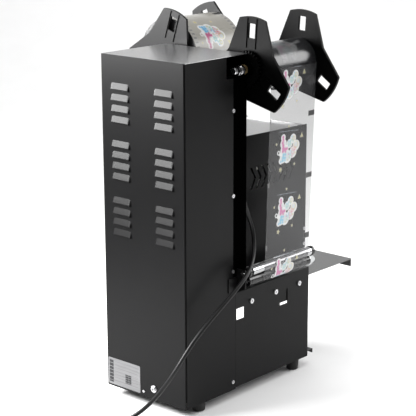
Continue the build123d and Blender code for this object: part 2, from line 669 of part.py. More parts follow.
def make_flange(name, hub_x, rear_y, angle, plug_side):
    """Three-armed reel flange with a rim towards the front and a core plug on one side.

    angle is the first arm's direction in the XZ plane; plug_side is 1 for the front, -1 for the rear.
    """
    first_arm = (cos(radians(angle)), 0, sin(radians(angle)))
    plane = Plane(origin=(hub_x, rear_y, REEL_Z), x_dir=first_arm, z_dir=(0, -1, 0))
    with BuildPart() as flange:
        with BuildSketch(plane):
            with BuildLine():
                flange_outline(FLANGE_R, NOTCH_R, TIP_HALF_ANGLE)
            make_face()
        extrude(amount=FLANGE_T + FLANGE_RIM)
        with BuildSketch(plane.offset(FLANGE_T)):
            with BuildLine():
                flange_outline(FLANGE_R - FLANGE_WALL, NOTCH_R - FLANGE_WALL, TIP_HALF_ANGLE - 1.0)
            make_face()
        extrude(amount=FLANGE_RIM + 1, mode=Mode.SUBTRACT)
        with BuildSketch(plane):
            with PolarLocations(SLOT_R, 3):
                RectangleRounded(SLOT_SIZE[0] + 5, SLOT_SIZE[1] + 5, 3)
        extrude(amount=FLANGE_T + FLANGE_RIM)
        with BuildSketch(plane):
            with PolarLocations(SLOT_R, 3):
                RectangleRounded(SLOT_SIZE[0], SLOT_SIZE[1], 1.5)
        extrude(amount=FLANGE_T + FLANGE_RIM, mode=Mode.SUBTRACT)
        # two low ribs beside the slot, on the face away from the film
        with BuildSketch(plane if plug_side > 0 else plane.offset(FLANGE_T)):
            with PolarLocations(0.68 * FLANGE_R, 3):
                with Locations((0, SLOT_SIZE[1] / 2 + 2.2), (0, -SLOT_SIZE[1] / 2 - 2.2)):
                    Rectangle(0.58 * FLANGE_R, 1.6)
        extrude(amount=-1.8 * plug_side)
        # core plug and shaft hub
        plug_plane = plane.offset(FLANGE_T if plug_side > 0 else 0)
        plug_amount = plug_side * PLUG_LENGTH
        with BuildSketch(plug_plane):
            Circle(PLUG_R)
            Circle(PLUG_R - 3.0, mode=Mode.SUBTRACT)
        extrude(amount=plug_amount)
        with BuildSketch(plug_plane):
            Circle(SHAFT_R + 6)
        extrude(amount=plug_amount)
        with BuildSketch(plane.offset(-PLUG_LENGTH - 5)):
            Circle(SHAFT_R + 0.1)
        extrude(amount=2 * PLUG_LENGTH + 20, mode=Mode.SUBTRACT)
    save(flange.part, name)


# Both reels stand with one arm of the rear flange nearly upright.
make_flange("takeup_rear_flange", REEL_X[-1], FLANGE_GAP_BACK_Y, 94.0, 1)
make_flange("takeup_front_flange", REEL_X[-1], FLANGE_GAP_FRONT_Y, 94.0, -1)
make_flange("supply_rear_flange", REEL_X[1], FLANGE_GAP_BACK_Y, 107.8, 1)
make_flange("supply_front_flange", REEL_X[1], FLANGE_GAP_FRONT_Y, 67.5, -1)

# Steel shafts, running in bushes in the front plate
SHAFT_BACK_Y = BACK_Y - 129.0
SHAFT_FRONT_Y = FLANGE_GAP_FRONT_Y - 18.0
for label, side in (("takeup_shaft", -1), ("supply_shaft", 1)):
    with BuildPart() as shaft:
        with BuildSketch(front_facing(SHAFT_BACK_Y, REEL_X[side], REEL_Z)):
            Circle(SHAFT_R)
        extrude(amount=SHAFT_BACK_Y - SHAFT_FRONT_Y)
        chamfer(shaft.edges().filter_by(GeomType.CIRCLE), length=1.0)
    save(shaft.part, label)

BUSH_BACK_Y = PLATE_Y + 9.0
with BuildPart() as shaft_bearings:
    for side in (-1, 1):
        with BuildSketch(front_facing(BUSH_BACK_Y, REEL_X[side], REEL_Z)):
            Circle(BUSH_R)
            Circle(SHAFT_R + RUNNING, mode=Mode.SUBTRACT)
        extrude(amount=BUSH_BACK_Y - PLATE_Y + 0.1)
        with BuildSketch(front_facing(PLATE_Y - 0.1, REEL_X[side], REEL_Z)):
            Circle(BUSH_R + 3)
            Circle(SHAFT_R + RUNNING, mode=Mode.SUBTRACT)
        extrude(amount=1.9)
save(shaft_bearings.part, "shaft_bearings")

# Cores and the supply film
CORE_BACK_Y = FLANGE_GAP_BACK_Y - FLANGE_T - FLANGE_RIM - 0.4
CORE_FRONT_Y = FLANGE_GAP_FRONT_Y + 0.4
for label, side in (("takeup_core", -1), ("supply_core", 1)):
    with BuildPart() as core:
        with BuildSketch(front_facing(CORE_BACK_Y, REEL_X[side], REEL_Z)):
            Circle(CORE_R)
            Circle(PLUG_R + 0.2, mode=Mode.SUBTRACT)
        extrude(amount=CORE_BACK_Y - CORE_FRONT_Y)
    save(core.part, label)

with BuildPart() as film_roll:
    with BuildSketch(front_facing(FILM_BACK_Y, REEL_X[1], REEL_Z)):
        Circle(ROLL_R)
        Circle(CORE_R + 0.1, mode=Mode.SUBTRACT)
    extrude(amount=FILM_W)
save(film_roll.part, "film_roll")

# Friction sets on the shafts' rear ends: washer, compression spring, washer and nut
SPRING_R = 7.9
WIRE_R = 0.9
SPRING_FRONT_Y = BUSH_BACK_Y + 2.6
SPRING_L = 9.0
NUT_R = 9.6               # to the corners

for label, side in (("takeup_clutch_set", -1), ("supply_brake_set", 1)):
    hub_x = REEL_X[side]
    with BuildPart() as coil_spring:
        start = (hub_x, SPRING_FRONT_Y + WIRE_R + 0.1, REEL_Z)
        with BuildLine():
            turns = Helix(2.6, SPRING_L - 2 * WIRE_R - 0.2, SPRING_R, center=start, direction=(0, 1, 0))
        with BuildSketch(Plane(origin=turns @ 0, z_dir=turns % 0)):
            Circle(WIRE_R)
        sweep(path=turns, is_frenet=True)
    with BuildPart() as friction_set:
        add(coil_spring.part)
        for washer_y in (SPRING_FRONT_Y - 0.2, SPRING_FRONT_Y + SPRING_L + 1.6):
            with BuildSketch(front_facing(washer_y, hub_x, REEL_Z)):
                Circle(9.4)
                Circle(SHAFT_R + 0.2, mode=Mode.SUBTRACT)
            extrude(amount=1.6)
        with BuildSketch(front_facing(SPRING_FRONT_Y + SPRING_L + 7.3, hub_x, REEL_Z)):
            RegularPolygon(NUT_R, 6)
            Circle(SHAFT_R + 0.15, mode=Mode.SUBTRACT)
        extrude(amount=5.5)
    save(friction_set.part, label)

# Take-up gear and motor pinion, just in front of the front plate
GEAR_BACK_Y = PLATE_Y - 3.0
GEAR_T = 6.0
GEAR_TEETH = 30
PINION_TEETH = 12


def toothed_wheel(root_r, tip_r, teeth, first_angle, root_w, tip_w):
    """Spur wheel outline with straight-sided teeth."""
    Circle(root_r)
    with PolarLocations(0, teeth, start_angle=first_angle):
        Polygon(
            (root_r - 1.0, -root_w / 2), (tip_r, -tip_w / 2), (tip_r, tip_w / 2), (root_r - 1.0, root_w / 2),
            align=None,
        )


with BuildPart() as takeup_gear:
    with BuildSketch(front_facing(GEAR_BACK_Y, REEL_X[-1], REEL_Z)):
        toothed_wheel(27.6, 31.6, GEAR_TEETH, MOTOR_ANGLE + 6, 3.6, 1.5)
        Circle(SHAFT_R + 0.1, mode=Mode.SUBTRACT)
    extrude(amount=GEAR_T)
save(takeup_gear.part, "takeup_gear")

MOTOR_FACE_Y = PLATE_Y + PLATE + 0.1
with BuildPart() as drive_pinion:
    with BuildSketch(front_facing(GEAR_BACK_Y, PINION_X, PINION_Z)):
        toothed_wheel(9.4, 13.6, PINION_TEETH, MOTOR_ANGLE + 180, 3.0, 1.3)
    extrude(amount=GEAR_T)
    with BuildSketch(front_facing(MOTOR_FACE_Y + 12.0, PINION_X, PINION_Z)):
        Circle(3.0)
    extrude(amount=MOTOR_FACE_Y + 12.0 - GEAR_BACK_Y)
save(drive_pinion.part, "drive_pinion")

TAKEUP_MOTOR_R = 18.5
with BuildPart() as takeup_motor:
    with BuildSketch(front_facing(MOTOR_FACE_Y + 62.0, PINION_X, PINION_Z)):
        Circle(TAKEUP_MOTOR_R - 1.5)
    extrude(amount=38)
    with BuildSketch(front_facing(MOTOR_FACE_Y + 24.0, PINION_X, PINION_Z)):
        Circle(TAKEUP_MOTOR_R)
    extrude(amount=24)
    with BuildSketch(front_facing(MOTOR_FACE_Y + 14.0, PINION_X, PINION_Z)):
        Circle(3.0 + RUNNING)
    extrude(amount=14, mode=Mode.SUBTRACT)
save(takeup_motor.part, "takeup_motor")

# ================================================================ film guide rollers
BRACKET_Y = BACK_Y - 134.0
AXLE_FRONT_Y = BACK_Y - 329.0
ROLLER_BACK_Y = BACK_Y - 154.0
UPPER_FRONT_Y = BACK_Y - 322.5
LOWER_FRONT_Y = BACK_Y - 316.5

with BuildPart() as roller_brackets:
    for side in (-1, 1):
        edge = side * (WALL_X + 0.1)
        with BuildSketch(front_facing(BRACKET_Y)):
            with BuildLine():
                Polyline(
                    (edge, LOWER_ROLLER[1] - 19.0),
                    (side * 114.0, LOWER_ROLLER[1] - 10.0),
                    (side * 118.0, UPPER_ROLLER[1] - 1.0),
                    (side * 114.0, UPPER_ROLLER[1] + 6.5),
                    (edge, UPPER_ROLLER[1] + 6.5),
                    close=True,
                )
            make_face()
            with Locations(*[(side * x, z) for x, z in (LOWER_ROLLER, UPPER_ROLLER)]):
                Circle(AXLE_R + 0.1, mode=Mode.SUBTRACT)
        extrude(amount=2.5)
        foot_x = edge if side > 0 else edge - 1.5
        with BuildSketch(side_facing(foot_x)):
            with Locations((BRACKET_Y + 10.0, SHELL_STEP_Z + 7.0)):
                Rectangle(25.0, 26.0)
        extrude(amount=1.5)
save(roller_brackets.part, "roller_brackets")

roller_axes = [(side * x, z) for side in (-1, 1) for x, z in (LOWER_ROLLER, UPPER_ROLLER)]
with BuildPart() as roller_axles:
    with BuildSketch(front_facing(BRACKET_Y + 2.5)):
        with Locations(*roller_axes):
            Circle(AXLE_R)
    extrude(amount=BRACKET_Y + 2.5 - AXLE_FRONT_Y)
save(roller_axles.part, "roller_axles")

# End collars that keep each roller on its axle
COLLAR_T = 5.0
with BuildPart() as roller_collars:
    for side in (-1, 1):
        for (x, z), front_y, outer in ((LOWER_ROLLER, LOWER_FRONT_Y, 9.4), (UPPER_ROLLER, UPPER_FRONT_Y, 9.4)):
            rear_y = ROLLER_BACK_Y + COLLAR_T + 0.3
            if (x, z) == UPPER_ROLLER:
                rear_y += COLLAR_T + 0.8
            for y in (rear_y, front_y - 0.3):
                with BuildSketch(front_facing(y, side * x, z)):
                    Circle(outer)
                    Circle(AXLE_R + 0.1, mode=Mode.SUBTRACT)
                extrude(amount=COLLAR_T)
save(roller_collars.part, "roller_collars")

for label, side, (x, z), radius, front_y in (
    ("left_lower_roller", -1, LOWER_ROLLER, LOWER_ROLLER_R, LOWER_FRONT_Y),
    ("left_upper_roller", -1, UPPER_ROLLER, UPPER_ROLLER_R, UPPER_FRONT_Y),
    ("right_lower_roller", 1, LOWER_ROLLER, LOWER_ROLLER_R, LOWER_FRONT_Y),
    ("right_upper_roller", 1, UPPER_ROLLER, UPPER_ROLLER_R, UPPER_FRONT_Y),
):
    with BuildPart() as roller:
        with BuildSketch(front_facing(ROLLER_BACK_Y, side * x, z)):
            Circle(radius)
            Circle(AXLE_R + RUNNING, mode=Mode.SUBTRACT)
        extrude(amount=ROLLER_BACK_Y - front_y)
    save(roller.part, label)

# ================================================================ film web
# From the supply roll down outside the right rollers, level under the head, and up outside the left rollers
# to the take-up core. Each stretch is a thin solid of its own; neighbours meet face to face.
WRAP_IN = LOWER_ROLLER_R + FILM_GAP
WRAP_OUT = WRAP_IN + FILM_T


def tangent_angle(low, low_r, high, high_r):
    """Direction in degrees of the normal of the line that touches two circles on their outer side."""
    dx, dz = high[0] - low[0], high[1] - low[1]
    return degrees(atan2(dz, dx) - acos((low_r - high_r) / hypot(dx, dz)))


def on_circle(centre, radius, angle):
    dx, dz = polar(radius, angle)
    return (centre[0] + dx, centre[1] + dz)


ENTRY_ANGLE = tangent_angle(LOWER_ROLLER, WRAP_IN, UPPER_ROLLER, UPPER_ROLLER_R + FILM_GAP)


def film_run(side, reel_r):
    """Upright stretch, from the lower roller past the upper roller to the reel."""
    reel = (abs(REEL_X[side]), REEL_Z)
    exit_angle = tangent_angle(UPPER_ROLLER, UPPER_ROLLER_R + FILM_GAP, reel, reel_r)
    faces = []
    for extra in (0.0, FILM_T):
        faces.append([
            on_circle(LOWER_ROLLER, WRAP_IN + extra, ENTRY_ANGLE),
            on_circle(UPPER_ROLLER, UPPER_ROLLER_R + FILM_GAP + extra, (ENTRY_ANGLE + exit_angle) / 2),
            on_circle(reel, reel_r + extra, exit_angle),
        ])
    with BuildSketch(front_facing(FILM_BACK_Y)) as run:
        with BuildLine():
            Polyline(*[(side * x, z) for x, z in faces[0] + faces[1][::-1]], close=True)
        make_face()
    return run.sketch


def film_wrap(side):
    """Turn under a lower roller, from the level run to the upright one."""
    middle = (ENTRY_ANGLE - 90) / 2
    inner = [on_circle(LOWER_ROLLER, WRAP_IN, a) for a in (-90, middle, ENTRY_ANGLE)]
    outer = [on_circle(LOWER_ROLLER, WRAP_OUT, a) for a in (ENTRY_ANGLE, middle, -90)]
    inner = [(side * x, z) for x, z in inner]
    outer = [(side * x, z) for x, z in outer]
    with BuildSketch(front_facing(FILM_BACK_Y)) as wrap:
        with BuildLine():
            ThreePointArc(*inner)
            Line(inner[2], outer[0])
            ThreePointArc(*outer)
            Line(outer[2], inner[0])
        make_face()
    return wrap.sketch


film_pieces = []
for side, reel_r in ((-1, CORE_R + 0.4), (1, ROLL_R + 0.4)):
    for outline in (film_run(side, reel_r), film_wrap(side)):
        with BuildPart() as piece:
            extrude(outline, amount=FILM_W)
        film_pieces.append(piece.part)
with BuildPart() as piece:
    with BuildSketch(Plane.XY.offset(FILM_Z - FILM_T)):
        with Locations((0, (FILM_BACK_Y + FILM_FRONT_Y) / 2)):
            Rectangle(2 * LOWER_ROLLER[0], FILM_W)
        with Locations((0, CUP_Y)):
            Circle(FILM_HOLE_R, mode=Mode.SUBTRACT)
    extrude(amount=FILM_T)
film_pieces.append(piece.part)
save(Compound(children=[p.solid() for p in film_pieces]), "film_web")

# Reflective photo-eye that reads the film's edge marks: a fork on a bent bracket
with BuildPart() as film_sensor:
    with Locations((LOWER_ROLLER[0] - 18.0, BASE_FRONT_Y + 14.0, BASE_TOP_Z + 4.2)):
        Box(14, 22, 8)
    with Locations((LOWER_ROLLER[0] - 18.0, BASE_FRONT_Y + 9.0, BASE_TOP_Z + 13.0)):
        Box(14, 8, 10)
save(film_sensor.part, "film_sensor")

# ================================================================ electrical parts in the column
with BuildPart() as control_board:
    with BuildSketch(front_facing(BACK_Y - 60.0)):
        with Locations((0, PANEL_Z + 400.0)):
            Rectangle(120, 150)
    extrude(amount=1.6)
    with Locations((-30, BACK_Y - 66.0, PANEL_Z + 440.0), (28, BACK_Y - 66.0, PANEL_Z + 430.0)):
        Box(36, 9, 24)
    with Locations((0, BACK_Y - 67.0, PANEL_Z + 365.0)):
        Box(70, 11, 22)
save(control_board.part, "control_board")

with BuildPart() as power_supply:
    with Locations((0, BACK_Y - 62.0, PANEL_Z + 12.6 + 34.0)):
        Box(96, 70, 68)
    fillet(power_supply.edges().filter_by(Axis.Z), radius=3)
save(power_supply.part, "power_supply")

# ================================================================ plate, terminal and screws
with BuildPart() as rating_plate:
    with BuildSketch(front_facing(BACK_Y + 0.6)):
        with Locations((52.5, PANEL_Z + 28.5)):
            RectangleRounded(79, 50, 2)
    extrude(amount=0.55)
save(rating_plate.part, "rating_plate")

# Earth terminal on the back cover: star washer, stud and a cross-slotted head
TERMINAL = (-20.0, PANEL_Z + 20.0)
with BuildPart() as earth_screw:
    with BuildSketch(front_facing(BACK_Y + 1.3)):
        with Locations(TERMINAL):
            Circle(6.2)
            with PolarLocations(6.2, 12):
                Rectangle(1.6, 1.4)
    extrude(amount=1.25)
    with BuildSketch(front_facing(BACK_Y + 3.6)):
        with Locations(TERMINAL):
            Circle(4.4)
            Rectangle(7.0, 1.2, mode=Mode.SUBTRACT)
            Rectangle(1.2, 7.0, mode=Mode.SUBTRACT)
    extrude(amount=2.2)
    with BuildSketch(front_facing(BACK_Y + 1.4)):
        with Locations(TERMINAL):
            Circle(2.2)
    extrude(amount=1.35)


def button_head(x, y, z, radius, height, socket, direction):
    """Round screw head standing on a face; direction is the unit vector away from the face."""
    seat = Plane(origin=(x, y, z), z_dir=direction)
    with BuildPart() as head:
        with BuildSketch(seat):
            Circle(radius)
        extrude(amount=height)
        with BuildSketch(seat.offset(height)):
            Circle(socket)
        extrude(amount=-0.7 * height, mode=Mode.SUBTRACT)
    return head.part.solid()


side_screws = [(BACK_Y - 124.0, PANEL_Z + z) for z in (506.0, 357.0, 221.0, 15.5)]
rail_screws = [(y, DRAWER_Z - 8.0) for y in (BACK_Y - 175.0, BACK_Y - 244.0, BACK_Y - 313.0)]
head_screws = [(HEAD_FRONT_Y + 5.0, PANEL_Z + z) for z in (251.0, 222.0)]
screw_parts = [earth_screw.part.solid()]
for side in (-1, 1):
    for spots, face_x, radius, height, socket in (
        (side_screws, WALL_X, 3.4, 1.8, 1.3),
        (rail_screws, WALL_X, 4.6, 2.6, 1.7),
        (head_screws, HEAD_HALF, 3.2, 1.8, 1.3),
    ):
        for y, z in spots:
            screw_parts.append(button_head(side * (face_x + 0.05), y, z, radius, height, socket, (side, 0, 0)))
screw_parts.append(button_head(4.5, BACK_Y + 0.05, PANEL_Z + 9.5, 2.4, 1.4, 0.9, (0, 1, 0)))
save(Compound(children=screw_parts), "screws")

# ================================================================ mains lead
# Tapered strain relief through the front plate's left strip, leaning forwards and down
RELIEF_LEAN = 60.0        # below the horizontal, in degrees
RELIEF_LENGTH = 25.0
RELIEF_ROOT_R = 5.8
RELIEF_TIP_R = CORD_R + 0.8
relief_root = Vector(RELIEF_X, PLATE_Y - 1.0, RELIEF_Z)
relief_way = Vector(0, -cos(radians(RELIEF_LEAN)), -sin(radians(RELIEF_LEAN)))
relief_tip = relief_root + relief_way * RELIEF_LENGTH
with BuildPart() as strain_relief:
    with BuildSketch(front_facing(PLATE_Y + 8.0, RELIEF_X, RELIEF_Z)):
        Circle(RELIEF_HOLE_R)
    extrude(amount=8.0)
    with BuildSketch(front_facing(PLATE_Y - 0.1, RELIEF_X, RELIEF_Z)):
        Circle(7.2)
    extrude(amount=2.4)
    with Locations(relief_root - Vector(0, 1.4, 0)):
        Sphere(RELIEF_ROOT_R)
    with BuildSketch(Plane(origin=relief_root, z_dir=relief_way)):
        Circle(RELIEF_ROOT_R)
    with BuildSketch(Plane(origin=relief_tip, z_dir=relief_way)):
        Circle(RELIEF_TIP_R)
    loft()
    with BuildSketch(Plane(origin=(0, PLATE_Y - 0.1, 0), x_dir=(1, 0, 0), z_dir=(0, 1, 0))):
        with Locations((RELIEF_X, -RELIEF_Z)):
            Circle(30)
            Circle(RELIEF_HOLE_R, mode=Mode.SUBTRACT)
    extrude(amount=20, mode=Mode.SUBTRACT)
save(strain_relief.part, "strain_relief")

# Free route, from the relief's tip down past the roller bracket, along the side and round the rear corner,
# to the floor and the stored turns
COIL_CENTRE = (-63.0, 395.0)
COIL_TURNS_WIDE = 2
COIL_LAYERS = 3
coil_half_width = COIL_TURNS_WIDE * CORD_R
COIL_TOP = 2 * CORD_R * COIL_LAYERS
COIL_OUTER_TURN = COIL_R + CORD_R
FLOOR_LINE = CORD_R + 0.1
LEAVE_ANGLE = 135.0
cord_route = [
    tuple(relief_tip),
    (-87.9, 60.5, 316.5),
    (-90.0, 56.5, 300.0),
    (-95.5, 59.5, 281.5),
    (-104.5, 71.0, 265.0),
    (-115.0, 88.0, 253.5),
    (-126.0, 110.0, 243.5),
    (-131.0, 136.0, 230.0),
    (-130.0, 168.0, 210.0),
    (-126.0, 203.0, 186.0),
    (-121.0, 237.0, 160.0),
    (-115.5, 263.0, 132.0),
    (-107.0, 281.0, 103.0),
    (-93.0, 293.0, 75.0),
    (-75.0, 302.0, 49.0),
    (-54.5, 311.5, 26.0),
    (-34.5, 326.0, 10.0),
    (-20.5, 346.0, 4.2),
    (COIL_CENTRE[0] + COIL_OUTER_TURN, COIL_CENTRE[1] - 25.0, FLOOR_LINE),
    (COIL_CENTRE[0] + COIL_OUTER_TURN, COIL_CENTRE[1] - 1.0, FLOOR_LINE),
]
PLUG_END = (-118.0, 366.0, 13.0)          # where the cord enters the plug, which points along -Y
leave_x, leave_y = polar(COIL_OUTER_TURN, LEAVE_ANGLE)
tail_route = [
    (COIL_CENTRE[0] + leave_x, COIL_CENTRE[1] + leave_y, FLOOR_LINE + 4 * CORD_R),
    (-107.5, 415.5, 13.5),
    (-115.5, 399.0, 8.8),
    (-118.0, 382.0, 9.0),
    PLUG_END,
]


def corner_radii(points, label):
    """Largest tangent radius at each corner of a route, from its shorter run and its turn."""
    radii = []
    for before, corner, after in zip(points, points[1:], points[2:]):
        run_in = Vector(*corner) - Vector(*before)
        run_out = Vector(*after) - Vector(*corner)
        turn = radians(run_in.get_angle(run_out))
        radii.append(0.45 * min(run_in.length, run_out.length) / tan(turn / 2))
    print(label, "radii", [round(r, 1) for r in radii])
    return radii


def lead(points, label):
    """Round tube along a route of straight runs joined by tangent arcs."""
    with BuildPart() as tube:
        with BuildLine():
            path = FilletPolyline(*points, radius=corner_radii(points, label))
        with BuildSketch(Plane(origin=path @ 0, z_dir=path % 0)):
            Circle(CORD_R)
        sweep(path=path)
    expected = path.length * pi * CORD_R**2
    print(label, "length", round(path.length, 1), "volume ratio", round(tube.part.volume / expected, 4))
    return tube.part


save(Compound(children=[lead(cord_route, "cord").solid(), lead(tail_route, "tail").solid()]), "power_cord")

with BuildPart() as cord_coil:
    with BuildSketch():
        with Locations(COIL_CENTRE):
            Circle(COIL_R + coil_half_width)
            Circle(COIL_R - coil_half_width, mode=Mode.SUBTRACT)
    extrude(amount=COIL_TOP)
save(cord_coil.part, "cord_coil")

# Moulded three-pin plug lying on the floor beside the coil
PLUG_BOOT = 18.0
PLUG_BODY = 20.0
PLUG_HALF_H = 12.0


def plug_plane(distance):
    """Cross-section plane of the plug, a distance along it from the cord's end; local axes X and Z."""
    return front_facing(PLUG_END[1] - distance, PLUG_END[0], PLUG_END[2])


with BuildPart() as power_plug:
    with BuildSketch(plug_plane(0)):
        Circle(CORD_R + 1.4)
    with BuildSketch(plug_plane(PLUG_BOOT)):
        Circle(9.0)
    loft()
    with BuildSketch(plug_plane(PLUG_BOOT)):
        RectangleRounded(26.0, 2 * PLUG_HALF_H, 7.0)
    extrude(amount=PLUG_BODY)
    fillet(power_plug.edges().group_by(Axis.Y)[0], radius=2.0)
    with BuildSketch(plug_plane(PLUG_BOOT + PLUG_BODY)):
        with Locations((-6.35, 3.5), (6.35, 3.5)):
            Rectangle(1.5, 6.3)
        with Locations((0, -6.0)):
            Circle(2.4)
    extrude(amount=17.0)
save(power_plug.part, "power_plug")
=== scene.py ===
import json
from math import acos, atan2, cos, hypot, pi, radians, sin

import bmesh
import bpy
import numpy as np
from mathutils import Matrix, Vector


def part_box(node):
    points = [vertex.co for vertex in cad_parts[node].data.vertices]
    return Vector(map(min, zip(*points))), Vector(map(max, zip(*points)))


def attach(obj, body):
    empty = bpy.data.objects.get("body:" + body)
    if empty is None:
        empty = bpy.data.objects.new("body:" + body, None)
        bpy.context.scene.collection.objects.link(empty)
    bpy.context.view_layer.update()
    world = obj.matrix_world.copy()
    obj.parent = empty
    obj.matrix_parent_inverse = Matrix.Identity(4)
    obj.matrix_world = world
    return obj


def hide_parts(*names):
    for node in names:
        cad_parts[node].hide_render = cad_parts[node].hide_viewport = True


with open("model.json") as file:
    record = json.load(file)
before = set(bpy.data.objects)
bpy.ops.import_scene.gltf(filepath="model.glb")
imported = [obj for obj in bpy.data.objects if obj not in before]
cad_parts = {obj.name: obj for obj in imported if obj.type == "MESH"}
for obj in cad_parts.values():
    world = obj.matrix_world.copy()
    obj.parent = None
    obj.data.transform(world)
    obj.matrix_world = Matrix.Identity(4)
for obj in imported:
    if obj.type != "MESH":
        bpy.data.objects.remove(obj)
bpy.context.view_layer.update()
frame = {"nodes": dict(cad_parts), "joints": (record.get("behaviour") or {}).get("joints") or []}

MM = 0.001

# ------------------------------------------------------------------ camera
CAMERA_AT = Vector((-1.600, 1.887, 0.956))
CAMERA_AZIMUTH = radians(221.39)
CAMERA_ELEVATION = radians(14.53)
CAMERA_ROLL = radians(0.16)
CAMERA_LENS = 120.4


def add_camera():
    data = bpy.data.cameras.new("camera")
    data.lens = CAMERA_LENS
    data.sensor_width = 36
    data.clip_end = 30
    camera = bpy.data.objects.new("camera", data)
    bpy.context.scene.collection.objects.link(camera)
    camera.location = CAMERA_AT
    camera.rotation_euler = (pi / 2 - CAMERA_ELEVATION, CAMERA_ROLL, CAMERA_AZIMUTH)
    bpy.context.scene.camera = camera


add_camera()


# ------------------------------------------------------------------ mesh helpers
def link_mesh(name, verts, faces, smooth=True):
    mesh = bpy.data.meshes.new(name)
    mesh.from_pydata([tuple(v) for v in verts], [], faces)
    mesh.validate()
    mesh.polygons.foreach_set("use_smooth", [smooth] * len(mesh.polygons))
    obj = bpy.data.objects.new(name, mesh)
    bpy.context.scene.collection.objects.link(obj)
    return obj


def from_bmesh(name, bm, smooth=False):
    mesh = bpy.data.meshes.new(name)
    bm.to_mesh(mesh)
    bm.free()
    mesh.polygons.foreach_set("use_smooth", [smooth] * len(mesh.polygons))
    obj = bpy.data.objects.new(name, mesh)
    bpy.context.scene.collection.objects.link(obj)
    return obj


# ------------------------------------------------------------------ materials
def new_material(name):
    material = bpy.data.materials.new(name)
    material.use_nodes = True
    tree = material.node_tree
    tree.nodes.clear()
    output = tree.nodes.new("ShaderNodeOutputMaterial")
    shader = tree.nodes.new("ShaderNodeBsdfPrincipled")
    tree.links.new(shader.outputs["BSDF"], output.inputs["Surface"])
    return material, tree, shader


def object_noise(tree, scale, detail, stretch=(1, 1, 1)):
    """Noise that stays with the object: features about 1/scale metres across, stretched along an axis."""
    place = tree.nodes.new("ShaderNodeTexCoord")
    mapping = tree.nodes.new("ShaderNodeMapping")
    mapping.inputs["Scale"].default_value = stretch
    noise = tree.nodes.new("ShaderNodeTexNoise")
    noise.inputs["Scale"].default_value = scale
    noise.inputs["Detail"].default_value = detail
    tree.links.new(place.outputs["Object"], mapping.inputs["Vector"])
    tree.links.new(mapping.outputs["Vector"], noise.inputs["Vector"])
    return noise.outputs["Fac"]


def ramp(tree, fac, low, high, start=0.3, end=0.7):
    node = tree.nodes.new("ShaderNodeValToRGB")
    node.color_ramp.elements[0].position = start
    node.color_ramp.elements[1].position = end
    node.color_ramp.elements[0].color = (*low, 1)
    node.color_ramp.elements[1].color = (*high, 1)
    tree.links.new(fac, node.inputs["Fac"])
    return node.outputs["Color"]


def map_range(tree, fac, low, high, start=0.3, end=0.7):
    node = tree.nodes.new("ShaderNodeMapRange")
    node.inputs["From Min"].default_value = start
    node.inputs["From Max"].default_value = end
    node.inputs["To Min"].default_value = low
    node.inputs["To Max"].default_value = high
    tree.links.new(fac, node.inputs["Value"])
    return node.outputs["Result"]


def bump(tree, shader, height, strength, distance=0.0002):
    node = tree.nodes.new("ShaderNodeBump")
    node.inputs["Strength"].default_value = strength
    node.inputs["Distance"].default_value = distance
    tree.links.new(height, node.inputs["Height"])
    tree.links.new(node.outputs["Normal"], shader.inputs["Normal"])


def surface(name, colour, rough, metallic=0.0, vary=0.12, rough_vary=0.04, grain=900, grain_bump=0.1,
            stretch=(1, 1, 1), blotch=9, **sockets):
    """General procedural finish: soft blotches in the colour, fine grain in the roughness and the normal."""
    material, tree, shader = new_material(name)
    blotches = object_noise(tree, blotch, 2.0)
    low = tuple(c * (1 - vary) for c in colour)
    high = tuple(min(1, c * (1 + vary)) for c in colour)
    tree.links.new(ramp(tree, blotches, low, high), shader.inputs["Base Color"])
    fine = object_noise(tree, grain, 2.0, stretch)
    tree.links.new(map_range(tree, fine, rough - rough_vary, rough + rough_vary), shader.inputs["Roughness"])
    bump(tree, shader, fine, grain_bump)
    shader.inputs["Metallic"].default_value = metallic
    for socket, value in sockets.items():
        shader.inputs[socket.replace("_", " ")].default_value = value
    return material


PAINT = surface("black_powder_coat", (0.0032, 0.0032, 0.0034), 0.35, grain=1500, grain_bump=0.14,
                IOR=1.5, Specular_IOR_Level=0.13)
# Painted shade: the front plate gets a near-black copy of the powder coat with its reflection turned off, so
# the front band reads as shaded
FRONT_PLATE_PAINTED_SHADE = surface("front_plate_painted_shade", (0.0006, 0.0006, 0.0006), 0.6, grain=1500, grain_bump=0.12,
                      IOR=1.5, Specular_IOR_Level=0.0)
# Painted reflection: the column and head tops get a lighter copy of the black powder coat (about ten times
# its base colour, higher IOR, a coat) so they look light grey like the bright surroundings they reflect
TOP_PAINTED_REFLECTION = surface("black_powder_coat_top_painted_reflection", (0.03, 0.03, 0.032), 0.3, grain=1500, grain_bump=0.12,
                    IOR=3.1, Coat_Weight=0.5, Coat_Roughness=0.2)
# Painted reflection: the drawer plate gets a lighter copy of the black powder coat so that it looks grey like
# the reflected surroundings
DRAWER_PAINTED_REFLECTION = surface("black_drawer_coat_painted_reflection", (0.02, 0.02, 0.021), 0.34, grain=1500, grain_bump=0.12, IOR=2.1)
INNER_PAINT = surface("inner_paint", (0.012, 0.012, 0.013), 0.5, grain=1200, grain_bump=0.2)
STEEL = surface("zinc_steel", (0.62, 0.62, 0.63), 0.27, 1.0, grain=700, grain_bump=0.06)
BRUSHED = surface("brushed_steel", (0.55, 0.55, 0.56), 0.33, 1.0, grain=260, grain_bump=0.12,
                  stretch=(1, 0.04, 1))
CHROME = surface("chrome", (0.5, 0.5, 0.51), 0.12, 1.0, rough_vary=0.02, grain=300, grain_bump=0.01)
ALUMINIUM = surface("turned_aluminium", (0.7, 0.71, 0.72), 0.3, 1.0, grain=500, grain_bump=0.1,
                    stretch=(1, 1, 6))
BRASS = surface("sintered_bronze", (0.55, 0.4, 0.2), 0.42, 1.0, grain=900, grain_bump=0.3)
ABS_BLACK = surface("moulded_black", (0.006, 0.006, 0.0064), 0.36, grain=2200, grain_bump=0.1,
                    Specular_IOR_Level=0.22)
